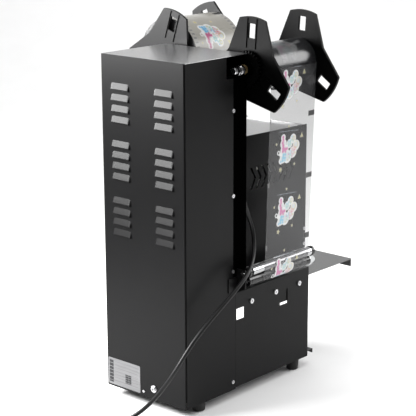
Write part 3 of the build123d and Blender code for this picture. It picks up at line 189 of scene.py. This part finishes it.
# Painted shade: the take-up reel's flanges and gear get a darker, less reflective copy of the moulded black
# than the supply reel's, so they stay dark under the front-left light
TAKEUP_BLACK_PAINTED_SHADE = surface("moulded_reel_black_painted_shade", (0.0015, 0.0015, 0.0016), 0.4, grain=2200, grain_bump=0.1,
                     Specular_IOR_Level=0.04)
SATIN_BLACK = surface("moulded_satin_black", (0.003, 0.003, 0.0032), 0.45, grain=2200, grain_bump=0.1,
                      Specular_IOR_Level=0.16)
GLOSS_BLACK = surface("gloss_black", (0.004, 0.004, 0.0045), 0.23, rough_vary=0.03, grain=400,
                      grain_bump=0.02)
RUBBER = surface("rubber", (0.004, 0.004, 0.004), 0.62, grain=1800, grain_bump=0.25)
CORD_JACKET = surface("cord_jacket", (0.005, 0.005, 0.0055), 0.4, grain=1600, grain_bump=0.08,
                      Specular_IOR_Level=0.3)
KEY_PLASTIC = surface("key_plastic", (0.72, 0.71, 0.68), 0.4, grain=1500, grain_bump=0.05)
BOARD = surface("board_laminate", (0.02, 0.14, 0.06), 0.35, vary=0.3, blotch=120, grain=700)
CARDBOARD = surface("core_board", (0.42, 0.29, 0.17), 0.75, vary=0.2, blotch=60, grain=500, grain_bump=0.4)
SMOKED = surface("smoked_window", (0.012, 0.014, 0.018), 0.08, grain=200, grain_bump=0.01)


def plate_material():
    """Silver rating plate: a dark upright band with gaps, a small chequered square and fine rules."""
    material, tree, shader = new_material("rating_plate_print")
    fine = object_noise(tree, 400, 2.0, (0.05, 1, 1))
    ground = ramp(tree, fine, (0.16, 0.16, 0.164), (0.21, 0.21, 0.214))
    place = tree.nodes.new("ShaderNodeTexCoord")
    split = tree.nodes.new("ShaderNodeSeparateXYZ")
    tree.links.new(place.outputs["Object"], split.inputs["Vector"])

    def window(axis, low, high):
        above = tree.nodes.new("ShaderNodeMath")
        above.operation = "GREATER_THAN"
        above.inputs[1].default_value = low
        below = tree.nodes.new("ShaderNodeMath")
        below.operation = "LESS_THAN"
        below.inputs[1].default_value = high
        both = tree.nodes.new("ShaderNodeMath")
        both.operation = "MULTIPLY"
        tree.links.new(split.outputs[axis], above.inputs[0])
        tree.links.new(split.outputs[axis], below.inputs[0])
        tree.links.new(above.outputs[0], both.inputs[0])
        tree.links.new(below.outputs[0], both.inputs[1])
        return both.outputs[0]

    def combine(operation, first, second):
        node = tree.nodes.new("ShaderNodeMath")
        node.operation = operation
        tree.links.new(first, node.inputs[0])
        tree.links.new(second, node.inputs[1])
        return node.outputs[0]

    def stripes(axis, pitch, share):
        node = tree.nodes.new("ShaderNodeMath")
        node.operation = "PINGPONG"
        node.inputs[1].default_value = pitch / 2
        line = tree.nodes.new("ShaderNodeMath")
        line.operation = "LESS_THAN"
        line.inputs[1].default_value = share * pitch / 2
        tree.links.new(split.outputs[axis], node.inputs[0])
        tree.links.new(node.outputs[0], line.inputs[0])
        return line.outputs[0]

    low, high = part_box("rating_plate")
    band_x = window("X", high.x - 13 * MM, high.x - 3 * MM)
    band_z = window("Z", low.z + 4 * MM, high.z - 4 * MM)
    band = combine("MULTIPLY", band_x, band_z)
    band = combine("MULTIPLY", band, stripes("Z", 6.5 * MM, 0.86))
    square_x = window("X", low.x + 22 * MM, low.x + 37 * MM)
    square_z = window("Z", low.z + 9 * MM, low.z + 26 * MM)
    square = combine("MULTIPLY", square_x, square_z)
    square = combine("MULTIPLY", square, stripes("X", 7.5 * MM, 0.93))
    square = combine("MULTIPLY", square, stripes("Z", 4.25 * MM, 0.86))
    rules = combine("MULTIPLY", window("X", low.x + 5 * MM, high.x - 17 * MM), stripes("Z", 6 * MM, 0.1))
    rules = combine("MULTIPLY", rules, window("Z", low.z + 6 * MM, high.z - 5 * MM))
    faint = tree.nodes.new("ShaderNodeMath")
    faint.operation = "MULTIPLY"
    faint.inputs[1].default_value = 0.35
    tree.links.new(rules, faint.inputs[0])
    ink = combine("MAXIMUM", combine("MAXIMUM", band, square), faint.outputs[0])
    mix = tree.nodes.new("ShaderNodeMix")
    mix.data_type = "RGBA"
    mix.inputs["B"].default_value = (0.015, 0.015, 0.017, 1)
    tree.links.new(ink, mix.inputs["Factor"])
    tree.links.new(ground, mix.inputs["A"])
    tree.links.new(mix.outputs["Result"], shader.inputs["Base Color"])
    tree.links.new(map_range(tree, fine, 0.3, 0.4), shader.inputs["Roughness"])
    shader.inputs["Metallic"].default_value = 0.35
    return material


def printed_film(name, clear_alpha, ground, rough, ripple):
    """Film with a print held in the mesh's own colour attribute: colour, and how opaque the ink is."""
    material, tree, shader = new_material(name)
    ink = tree.nodes.new("ShaderNodeAttribute")
    ink.attribute_name = "print"
    wrinkles = object_noise(tree, 14, 2.0, (1, 0.5, 1))
    haze = ramp(tree, wrinkles, tuple(0.9 * g for g in ground), ground)
    mix = tree.nodes.new("ShaderNodeMix")
    mix.data_type = "RGBA"
    tree.links.new(ink.outputs["Alpha"], mix.inputs["Factor"])
    tree.links.new(haze, mix.inputs["A"])
    tree.links.new(ink.outputs["Color"], mix.inputs["B"])
    tree.links.new(mix.outputs["Result"], shader.inputs["Base Color"])
    tree.links.new(map_range(tree, ink.outputs["Alpha"], clear_alpha, 0.98, 0, 1), shader.inputs["Alpha"])
    tree.links.new(map_range(tree, wrinkles, rough - 0.03, rough + 0.05), shader.inputs["Roughness"])
    bump(tree, shader, wrinkles, ripple, 0.002)
    shader.inputs["IOR"].default_value = 1.5
    return material


CLEAR_FILM = printed_film("clear_film", 0.5, (0.1, 0.1, 0.103), 0.2, 0.12)
ROLL_FILM = printed_film("film_on_roll", 0.97, (0.28, 0.27, 0.24), 0.24, 0.08)
WASTE_FILM = printed_film("film_on_core", 0.05, (0.3, 0.31, 0.32), 0.2, 0.04)


def wound_ends():
    """Dark end face of a wound roll, with fine rings about its axis."""
    material, tree, shader = new_material("wound_film_edge")
    reel = axis_of("supply_spin")
    place = tree.nodes.new("ShaderNodeTexCoord")
    mapping = tree.nodes.new("ShaderNodeMapping")
    mapping.inputs["Location"].default_value = (-reel.x, 0, -reel.z)
    mapping.inputs["Scale"].default_value = (1, 0, 1)
    rings = tree.nodes.new("ShaderNodeTexWave")
    rings.wave_type = "RINGS"
    rings.rings_direction = "SPHERICAL"
    rings.inputs["Scale"].default_value = 170
    rings.inputs["Distortion"].default_value = 1.2
    rings.inputs["Detail"].default_value = 2
    tree.links.new(place.outputs["Object"], mapping.inputs["Vector"])
    tree.links.new(mapping.outputs["Vector"], rings.inputs["Vector"])
    colour = ramp(tree, rings.outputs["Fac"], (0.02, 0.02, 0.021), (0.05, 0.05, 0.052), 0.2, 0.8)
    tree.links.new(colour, shader.inputs["Base Color"])
    tree.links.new(map_range(tree, rings.outputs["Fac"], 0.25, 0.4), shader.inputs["Roughness"])
    bump(tree, shader, rings.outputs["Fac"], 0.3)
    return material


def axis_of(joint):
    return Vector(next(j["pos_m"] for j in frame["joints"] if j["name"] == joint))


ROLL_ENDS = wound_ends()

# ------------------------------------------------------------------ CAD nodes' materials
CAD_MATERIALS = {
    PAINT: ["column_sides", "back_cover", "base_shell", "head_sides", "head_front", "roller_brackets",
            "drawer_rails"],
    FRONT_PLATE_PAINTED_SHADE: ["front_plate"],
    TOP_PAINTED_REFLECTION: ["column_top", "head_top"],
    DRAWER_PAINTED_REFLECTION: ["drawer_plate"],
    INNER_PAINT: ["cavity_wall", "floor_plate"],
    STEEL: ["screws", "lead_screw", "takeup_shaft", "supply_shaft", "drive_pinion"],
    BRUSHED: ["head_chassis", "power_supply", "takeup_motor", "cutter_ring"],
    CHROME: ["guide_rods", "roller_axles", "left_upper_roller", "right_upper_roller", "takeup_clutch_set",
             "supply_brake_set"],
    ALUMINIUM: ["cup_ring", "press_carriage", "heater_plate"],
    BRASS: ["shaft_bearings", "carriage_bushes"],
    TAKEUP_BLACK_PAINTED_SHADE: ["takeup_rear_flange", "takeup_front_flange", "takeup_gear"],
    SATIN_BLACK: ["supply_rear_flange", "supply_front_flange"],
    ABS_BLACK: ["control_fascia", "press_motor", "film_sensor", "power_plug"],
    GLOSS_BLACK: ["takeup_core", "roller_collars", "left_lower_roller", "right_lower_roller", "power_rocker"],
    RUBBER: ["feet", "strain_relief"],
    KEY_PLASTIC: ["key_down", "key_set", "key_up"],
    BOARD: ["control_board"],
    CARDBOARD: ["supply_core"],
    SMOKED: ["display_window"],
    ROLL_ENDS: ["film_roll"],
    plate_material(): ["rating_plate"],
}


def paint_cad():
    for material, names in CAD_MATERIALS.items():
        for name in names:
            mesh = frame["nodes"][name].data
            mesh.materials.clear()
            mesh.materials.append(material)


paint_cad()

# ------------------------------------------------------------------ mains lead
CORD_R = 3.6 * MM
COIL_CENTRE = (-63.0, 395.0)
COIL_R = 43.0
COIL_OUTER_TURN = COIL_R + 3.6
COIL_INNER_TURN = COIL_R - 3.6
FLOOR_LINE = 3.7
TURN_STEP = 7.2
LEAVE_ANGLE = 135.0
relief_low, relief_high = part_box("strain_relief")
CORD_EXIT = (-87.5, 67.5, 330.35)
CORD_ROUTE = [
    CORD_EXIT,
    (-87.9, 60.5, 316.5),
    (-90.0, 56.5, 300.0),
    (-95.5, 59.5, 281.5),
    (-104.5, 71.0, 265.0),
    (-115.0, 88.0, 253.5),
    (-126.0, 110.0, 243.5),
    (-131.0, 136.0, 230.0),
    (-130.0, 168.0, 210.0),
    (-126.0, 203.0, 186.0),
    (-121.0, 237.0, 160.0),
    (-115.5, 263.0, 132.0),
    (-107.0, 281.0, 103.0),
    (-93.0, 293.0, 75.0),
    (-75.0, 302.0, 49.0),
    (-54.5, 311.5, 26.0),
    (-34.5, 326.0, 10.0),
    (-20.5, 346.0, 4.2),
    (COIL_CENTRE[0] + COIL_OUTER_TURN, COIL_CENTRE[1] - 25.0, FLOOR_LINE),
]
TAIL_ROUTE = [
    (-107.5, 415.5, 13.5),
    (-115.5, 399.0, 8.8),
    (-118.0, 382.0, 9.0),
    (-118.0, 366.0, 13.0),
]
POINTS_PER_TURN = 16


def coil_point(turns):
    """Centreline of the stored turns: outer and inner on the floor, inner and outer above, then on top."""
    levels = [
        (COIL_OUTER_TURN, 0),
        (COIL_INNER_TURN, 0),
        (COIL_INNER_TURN, 1),
        (COIL_OUTER_TURN, 1),
        (COIL_OUTER_TURN, 2),
    ]
    index = min(int(turns), len(levels) - 1)
    ahead = levels[min(index + 1, len(levels) - 1)]
    radius, level = levels[index]
    climb = max(0.0, min(1.0, (turns - index - 0.75) / 0.25))
    climb = climb * climb * (3 - 2 * climb)
    radius += (ahead[0] - radius) * climb
    level += (ahead[1] - level) * climb
    angle = 2 * pi * turns
    x = COIL_CENTRE[0] + radius * cos(angle)
    y = COIL_CENTRE[1] + radius * sin(angle)
    return (x, y, FLOOR_LINE + TURN_STEP * level)


def make_cord():
    turns = 4 + LEAVE_ANGLE / 360
    steps = round(turns * POINTS_PER_TURN)
    coil = [coil_point(turns * i / steps) for i in range(steps + 1)]
    points = CORD_ROUTE + coil + TAIL_ROUTE
    curve = bpy.data.curves.new("mains_lead", "CURVE")
    curve.dimensions = "3D"
    curve.bevel_depth = CORD_R
    curve.bevel_resolution = 6
    curve.resolution_u = 6
    curve.use_fill_caps = True
    spline = curve.splines.new("NURBS")
    spline.points.add(len(points) - 1)
    for target, point in zip(spline.points, points):
        target.co = (*(c * MM for c in point), 1)
    spline.order_u = 3
    spline.use_endpoint_u = True
    cord = bpy.data.objects.new("mains_lead", curve)
    bpy.context.scene.collection.objects.link(cord)
    curve.materials.append(CORD_JACKET)
    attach(cord, "frame")
    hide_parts("power_cord", "cord_coil")
    return cord


def coil_tie():
    """Paper-covered wire tie round the stored turns."""
    angle = radians(250)
    width = COIL_OUTER_TURN - COIL_INNER_TURN + 9.4
    height = 2 * TURN_STEP + 9.4
    outline = []
    corners = [(-1, -1), (1, -1), (1, 1), (-1, 1)]
    for (cx, cz), start in zip(corners, (180, 270, 0, 90)):
        for step in range(5):
            a = radians(start + 22.5 * step)
            outline.append((cx * (width / 2 - 3) + 3 * cos(a), cz * (height / 2 - 3) + 3 * sin(a)))
    verts = []
    faces = []
    middle = FLOOR_LINE + TURN_STEP
    count = len(outline)
    for side in (-2.2, 2.2):
        for u, w in outline:
            radius = COIL_R + u
            x = COIL_CENTRE[0] + radius * cos(angle) - side * sin(angle)
            y = COIL_CENTRE[1] + radius * sin(angle) + side * cos(angle)
            verts.append((x * MM, y * MM, max(0.15, middle + w) * MM))
    for i in range(count):
        j = (i + 1) % count
        faces.append((i, j, count + j, count + i))
    tie = link_mesh("coil_tie", verts, faces)
    thickness = tie.modifiers.new("thickness", "SOLIDIFY")
    thickness.thickness = 0.6 * MM
    thickness.offset = 1
    tie.data.materials.append(surface("tie_strip", (0.7, 0.7, 0.68), 0.6, grain=900))
    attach(tie, "frame")
    return tie


cord = make_cord()
tie = coil_tie()

# ------------------------------------------------------------------ film path
REEL_X = {-1: 91.0, 1: 107.0}       # take-up and supply axes, each side's distance from the middle plane
REEL_Z = 590.0
CORE_R, ROLL_R = 39.7, 69.9         # where the film touches each winding
CORE_TURN_R, ROLL_TURN_R = 39.5, 69.65
LOWER_ROLLER, LOWER_R = (106.0, 218.0), 9.9
UPPER_ROLLER, UPPER_R = (111.0, 235.8), 8.3
FILM_BACK, FILM_W, FILM_T = 58.5, 126.0, 0.3
HOLE_Y, HOLE_R = -2.5, 49.0
PRINT_PITCH = 113.4
CLUSTER_Z = 443.2         # height of a cluster's middle on the left stretch
CELL = 1.0


def tangent_angle(low, low_r, high, high_r):
    """Direction of the normal of the line that touches two circles on their outer side."""
    dx, dz = high[0] - low[0], high[1] - low[1]
    return atan2(dz, dx) - acos((low_r - high_r) / hypot(dx, dz))


def film_line(side, reel_r):
    """Half of the film's path in (x, z), from the middle plane under the head up to a reel."""
    middle = FILM_T / 2
    reel = (REEL_X[side], REEL_Z)
    low_r, up_r, reel_r = LOWER_R + middle, UPPER_R + middle, reel_r + middle
    first = tangent_angle(LOWER_ROLLER, low_r, UPPER_ROLLER, up_r)
    second = tangent_angle(UPPER_ROLLER, up_r, reel, reel_r)
    line = [(0.0, LOWER_ROLLER[1] - low_r)]
    for centre, radius, start, end in (
        (LOWER_ROLLER, low_r, -pi / 2, first),
        (UPPER_ROLLER, up_r, first, second),
        (reel, reel_r, second, second),
    ):
        steps = max(1, round(abs(end - start) * radius / CELL))
        for i in range(steps + 1):
            a = start + (end - start) * i / steps
            line.append((centre[0] + radius * cos(a), centre[1] + radius * sin(a)))
    return [(side * x, z) for x, z in line]


def resample(line, step):
    """Points along a line at even distances, with the distance of each."""
    points = np.array(line)
    lengths = np.hypot(*np.diff(points, axis=0).T)
    points = points[np.append(True, lengths > 1e-6)]
    at = np.append(0, np.cumsum(np.hypot(*np.diff(points, axis=0).T)))
    places = np.linspace(0, at[-1], round(at[-1] / step) + 1)
    return places, np.column_stack([np.interp(places, at, points[:, k]) for k in (0, 1)])


# ------------------------------------------------------------------ film print
WHITE, ROSE, SKY = (0.78, 0.78, 0.78), (0.62, 0.13, 0.36), (0.2, 0.52, 0.72)
CORAL, SUN, LEAF, TEAL = (0.72, 0.3, 0.32), (0.6, 0.55, 0.22), (0.3, 0.6, 0.52), (0.04, 0.2, 0.36)
PRINT_OFFSET = 8.2        # from the film's middle line to a cluster's, towards the rear edge
CLOUD = [(-15.2, 23, 6.4), (-14.4, 12, 8.8), (12.2, 17.6, 8.6), (3, 10, 8.4), (21.8, 4, 9.8), (13, -7, 10.6),
         (-11, -1, 11.6), (-2, -13, 11.6), (-14.5, -14, 9.2), (-20, -18, 6), (-22.5, -6, 3.4)]
TAIL = (-27.2, -2.6, 3.1)
BLOBS = [
    (ROSE, [(-15.6, 24, 2.8), (-15, 19, 3), (-16.6, 14, 3), (-15, 9, 3.2), (-14.5, 4, 3.6), (-9, 1, 3.6),
            (-4, 2, 2.8), (-15, -1, 3.2), (-8, -3, 2.2)]),
    (SKY, [(-13, -8, 3), (-8, -8, 2.4), (-14, -13, 3.2), (-9, -14, 2.8), (-15, -18, 2.8), (-9, -19, 2.4),
           (-20, -19.5, 2)]),
    (SKY, [(4, 0, 1.6), (0.5, 7, 1.2), (9, 22, 1.4)]),
    (ROSE, [(1.5, -9, 1.3), (17, -3, 1.3), (11, -14, 1.4)]),
    (SUN, [(-1, -19, 1.4), (20, -9, 1.5), (3, -15, 1.1)]),
]
RINGS = [(LEAF, -4, 13, 3.2), (SKY, 3, 16, 3), (LEAF, 9, 12, 3.8), (SUN, 21, 6, 6), (SUN, 15, 18, 3.4),
         (LEAF, 2, 6, 3), (CORAL, 11, 3, 3.2), (CORAL, 13, -7, 3.6), (SKY, 5, -6, 3), (CORAL, 19, -1, 2.6),
         (LEAF, 6, -14, 2.8)]
DOTS = [(-33.9, 13.9, 3), (-20.6, -33.7, 4.8), (18.7, -29.4, 3.4), (-0.9, 41.5, 3)]
TRIANGLE = (37, 19.5, 5.6)


def film_print(across, along):
    """Colour and ink cover at points of the film: one cluster, its stars, a rule and eye marks per pitch.

    across runs from the rear edge to the front, along rises towards the take-up core; both in millimetres.
    """
    u = across - FILM_W / 2 + PRINT_OFFSET
    v = (along + PRINT_PITCH / 2) % PRINT_PITCH - PRINT_PITCH / 2
    colour = np.ones((len(u), 3)) * WHITE
    cover = np.zeros(len(u))

    def ink(tone, distance, strength=1.0, soft=0.5):
        share = np.clip(0.5 - distance / (2 * soft), 0, 1) * strength
        colour[:] = colour * (1 - share[:, None]) + np.array(tone) * share[:, None]
        np.maximum(cover, share, out=cover)

    def round_shape(parts):
        return np.min([np.hypot(u - x, v - z) - r for x, z, r in parts], axis=0)

    def ring(x, z, r, half_width):
        return np.abs(np.hypot(u - x, v - z) - r) - half_width

    cloud = round_shape(CLOUD)
    ink(WHITE, cloud, 0.9)
    ink(WHITE, ring(*TAIL, 1.1), 0.9)
    ink((0.5, 0.56, 0.58), cloud + 3.4, 0.5, 1.2)
    for tone, parts in BLOBS:
        ink(tone, np.maximum(round_shape(parts), cloud + 1.6), 0.8, 0.8)
    for tone, x, z, r in RINGS:
        ink(tone, np.maximum(ring(x, z, r, 0.9), cloud + 1.8), 0.65, 0.8)
    for x, z, r in DOTS:
        star = np.hypot(u - x, v - z) - r * (0.75 + 0.25 * np.cos(5 * np.arctan2(v - z, u - x)))
        ink(SUN, star, 0.75)
    x, z, r = TRIANGLE
    side = np.abs(u - x) * 0.9 + (v - z) * 0.45
    ink(SUN, np.maximum(side - 0.5 * r, z - v - 0.55 * r), 0.75)
    rule = np.maximum(np.abs(v - 33 + 0.07 * u) - 0.6, np.abs(u) - 27)
    dashes = np.abs((u + 40) % 9 - 4.5) - 4.1
    ink(TEAL, np.maximum(rule, dashes), 0.6)
    half = np.abs(np.abs(v) - PRINT_PITCH / 2)
    ink((0.01, 0.01, 0.01), np.maximum(half - 5, FILM_W - 17.5 - across), 1.0, 0.4)
    ink((0.01, 0.01, 0.01), np.maximum(half - 4, across - 4.5), 0.8, 0.5)
    return colour, cover


def put_print(obj, across, along, cover_scale=1.0, depth=1.0):
    """Store the print on a mesh; a depth over 1 deepens the colours, as on many layers of film."""
    colour, cover = film_print(across, along)
    if depth > 1:
        colour = colour ** depth
        edge = np.minimum(across, FILM_W - across)
        dash = np.maximum(np.abs(edge - 7) - 4.5, np.abs((along % 9) - 4.5) - 2.6)
        mark = np.clip(0.5 - dash, 0, 1) * 0.8
        colour = colour * (1 - mark[:, None]) + 0.03 * mark[:, None]
        cover = np.maximum(cover, mark)
    attribute = obj.data.color_attributes.new("print", "FLOAT_COLOR", "POINT")
    values = np.column_stack([colour, cover * cover_scale]).astype(np.float32)
    attribute.data.foreach_set("color", values.ravel())


def film_sheet():
    """The threaded film, with the hole that the knife has left under the head."""
    left = film_line(-1, CORE_R)[::-1]
    right = film_line(1, ROLL_R)[1:]
    places, line = resample(left + right, CELL)
    upright = len(line) // 3
    cluster = np.interp(CLUSTER_Z, line[:upright, 1][::-1], places[:upright][::-1])
    across = np.linspace(0, FILM_W, round(FILM_W / CELL) + 1)
    rows, columns = len(places), len(across)
    x = np.repeat(line[:, 0], columns)
    z = np.repeat(line[:, 1], columns)
    y = FILM_BACK - np.tile(across, rows)
    level = np.repeat(np.abs(line[:, 0]) < LOWER_ROLLER[0] - 1, columns) & (z < LOWER_ROLLER[1])
    away = np.hypot(x, y - HOLE_Y)
    rim = level & (np.abs(away - HOLE_R) < 0.75 * CELL)
    x[rim] *= HOLE_R / away[rim]
    y[rim] = HOLE_Y + (y[rim] - HOLE_Y) * HOLE_R / away[rim]
    inside = level & (away < HOLE_R - 0.75 * CELL)
    index = np.arange(rows * columns).reshape(rows, columns)
    quads = np.stack([index[:-1, :-1], index[1:, :-1], index[1:, 1:], index[:-1, 1:]], -1).reshape(-1, 4)
    quads = quads[~inside[quads].any(axis=1)]
    used = np.unique(quads)
    new_index = np.full(rows * columns, -1)
    new_index[used] = np.arange(len(used))
    verts = np.column_stack([x, y, z])[used] * MM
    sheet = link_mesh("film_sheet", verts.tolist(), new_index[quads].tolist())
    along = np.repeat(cluster - places, columns)[used]
    put_print(sheet, np.tile(across, rows)[used], along)
    sheet.data.materials.append(CLEAR_FILM)
    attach(sheet, "frame")
    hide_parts("film_web")


def wound_shell(name, hub_x, radius, body, material, cover_scale, first_angle, depth=1.0):
    """Outer turn of film on a reel, as a thin shell with the same print."""
    step = 1.2 * CELL
    around = round(2 * pi * radius / step)
    columns = round(FILM_W / step) + 1
    across = np.linspace(0.4, FILM_W - 0.4, columns)
    angles = np.linspace(0, 2 * pi, around, endpoint=False)
    x = hub_x + radius * np.repeat(np.cos(angles), columns)
    z = REEL_Z + radius * np.repeat(np.sin(angles), columns)
    y = FILM_BACK - np.tile(across, around)
    index = np.arange(around * columns).reshape(around, columns)
    following = np.roll(index, -1, axis=0)
    quads = np.stack([index[:, :-1], following[:, :-1], following[:, 1:], index[:, 1:]], -1).reshape(-1, 4)
    shell = link_mesh(name, (np.column_stack([x, y, z]) * MM).tolist(), quads.tolist())
    pitches = round(2 * pi * radius / PRINT_PITCH)
    arc = (np.repeat(angles, columns) + first_angle) * PRINT_PITCH * pitches / (2 * pi)
    put_print(shell, np.tile(across, around), arc, cover_scale, depth)
    shell.data.materials.append(material)
    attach(shell, body)


film_sheet()
wound_shell("roll_outer_turn", REEL_X[1], ROLL_TURN_R, "supply_reel", ROLL_FILM,
            cover_scale=1.0, first_angle=0.62, depth=2.2)
wound_shell("core_outer_turn", -REEL_X[-1], CORE_TURN_R, "takeup_reel", WASTE_FILM,
            cover_scale=0.25, first_angle=1.0)


# ------------------------------------------------------------------ control panel details
def switch_bezel():
    """Raised bezel round the rocker switch."""
    front_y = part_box("control_fascia")[0].y
    rocker_low, rocker_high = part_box("power_rocker")
    centre = (rocker_low + rocker_high) / 2
    bezel = bmesh.new()
    outer, inner, lift = (22.6 * MM, 30.6 * MM), (16.2 * MM, 24.2 * MM), 1.6 * MM
    rings = []
    for (w, h), y in ((outer, front_y), (outer, front_y - lift), (inner, front_y - lift), (inner, front_y)):
        corners = [(-w, -h), (w, -h), (w, h), (-w, h)]
        rings.append([bezel.verts.new((centre.x + x / 2, y, centre.z + z / 2)) for x, z in corners])
    for near, far in zip(rings, rings[1:]):
        for i in range(4):
            bezel.faces.new((near[i], near[(i + 1) % 4], far[(i + 1) % 4], far[i]))
    piece = from_bmesh("switch_bezel", bezel)
    edge = piece.modifiers.new("edge", "BEVEL")
    edge.width = 0.5 * MM
    edge.segments = 2
    piece.data.materials.append(GLOSS_BLACK)
    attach(piece, "frame")


switch_bezel()

# ------------------------------------------------------------------ studio
FLOOR_PAINT = surface("studio_floor", (0.92, 0.92, 0.92), 0.8, vary=0.01, grain=400, grain_bump=0.02)


def studio_floor():
    """Pale floor that sweeps up into a backdrop behind the object."""
    back = Vector((sin(CAMERA_AZIMUTH), -cos(CAMERA_AZIMUTH), 0))
    across = Vector((cos(CAMERA_AZIMUTH), sin(CAMERA_AZIMUTH), 0))
    profile = [(6.0, 0.0), (-2.4, 0.0)]
    for i in range(1, 13):
        a = i / 12 * pi / 2
        profile.append((-2.4 - 1.6 * sin(a), 1.6 - 1.6 * cos(a)))
    profile.append((-4.0, 5.0))
    verts, faces = [], []
    for distance, height in profile:
        for side in (-6, 6):
            verts.append(back * distance + across * side + Vector((0, 0, height)))
    for i in range(len(profile) - 1):
        faces.append((2 * i, 2 * i + 1, 2 * i + 3, 2 * i + 2))
    floor = link_mesh("studio_floor", verts, faces)
    floor.data.materials.append(FLOOR_PAINT)


def area_light(name, at, towards, size, power, colour=(1, 1, 1)):
    data = bpy.data.lights.new(name, "AREA")
    data.shape = "RECTANGLE"
    data.size, data.size_y = size
    data.energy = power
    data.color = colour
    light = bpy.data.objects.new(name, data)
    light.visible_camera = False
    bpy.context.scene.collection.objects.link(light)
    light.location = at
    light.rotation_euler = (Vector(towards) - Vector(at)).to_track_quat("-Z", "Y").to_euler()


def studio_lights():
    world = bpy.data.worlds.new("studio")
    world.use_nodes = True
    background = world.node_tree.nodes["Background"]
    background.inputs["Color"].default_value = (1, 1, 1, 1)
    background.inputs["Strength"].default_value = 0.23
    bpy.context.scene.world = world
    back = Vector((sin(CAMERA_AZIMUTH), -cos(CAMERA_AZIMUTH), 0))
    area_light("back_panel_light", (0.62, 0.82, 0.76), (0, 0.24, 0.64), (0.9, 0.36), 40)
    area_light("front_left_light", (-1.03, -1.54, 1.1), (-0.05, 0.0, 0.5), (1.3, 1.0), 30)
    area_light("overhead_light", (0.0, 0.2, 3.2), (0, 0.1, 0), (3.0, 3.0), 76)
    above = back * -1.4 + Vector((0, 0, 3.0))
    backdrop = back * -4 + Vector((0, 0, 1.0))
    area_light("backdrop_light", above, backdrop, (4.0, 1.0), 56)


studio_floor()
studio_lights()
bpy.context.scene.view_settings.view_transform = "Standard"
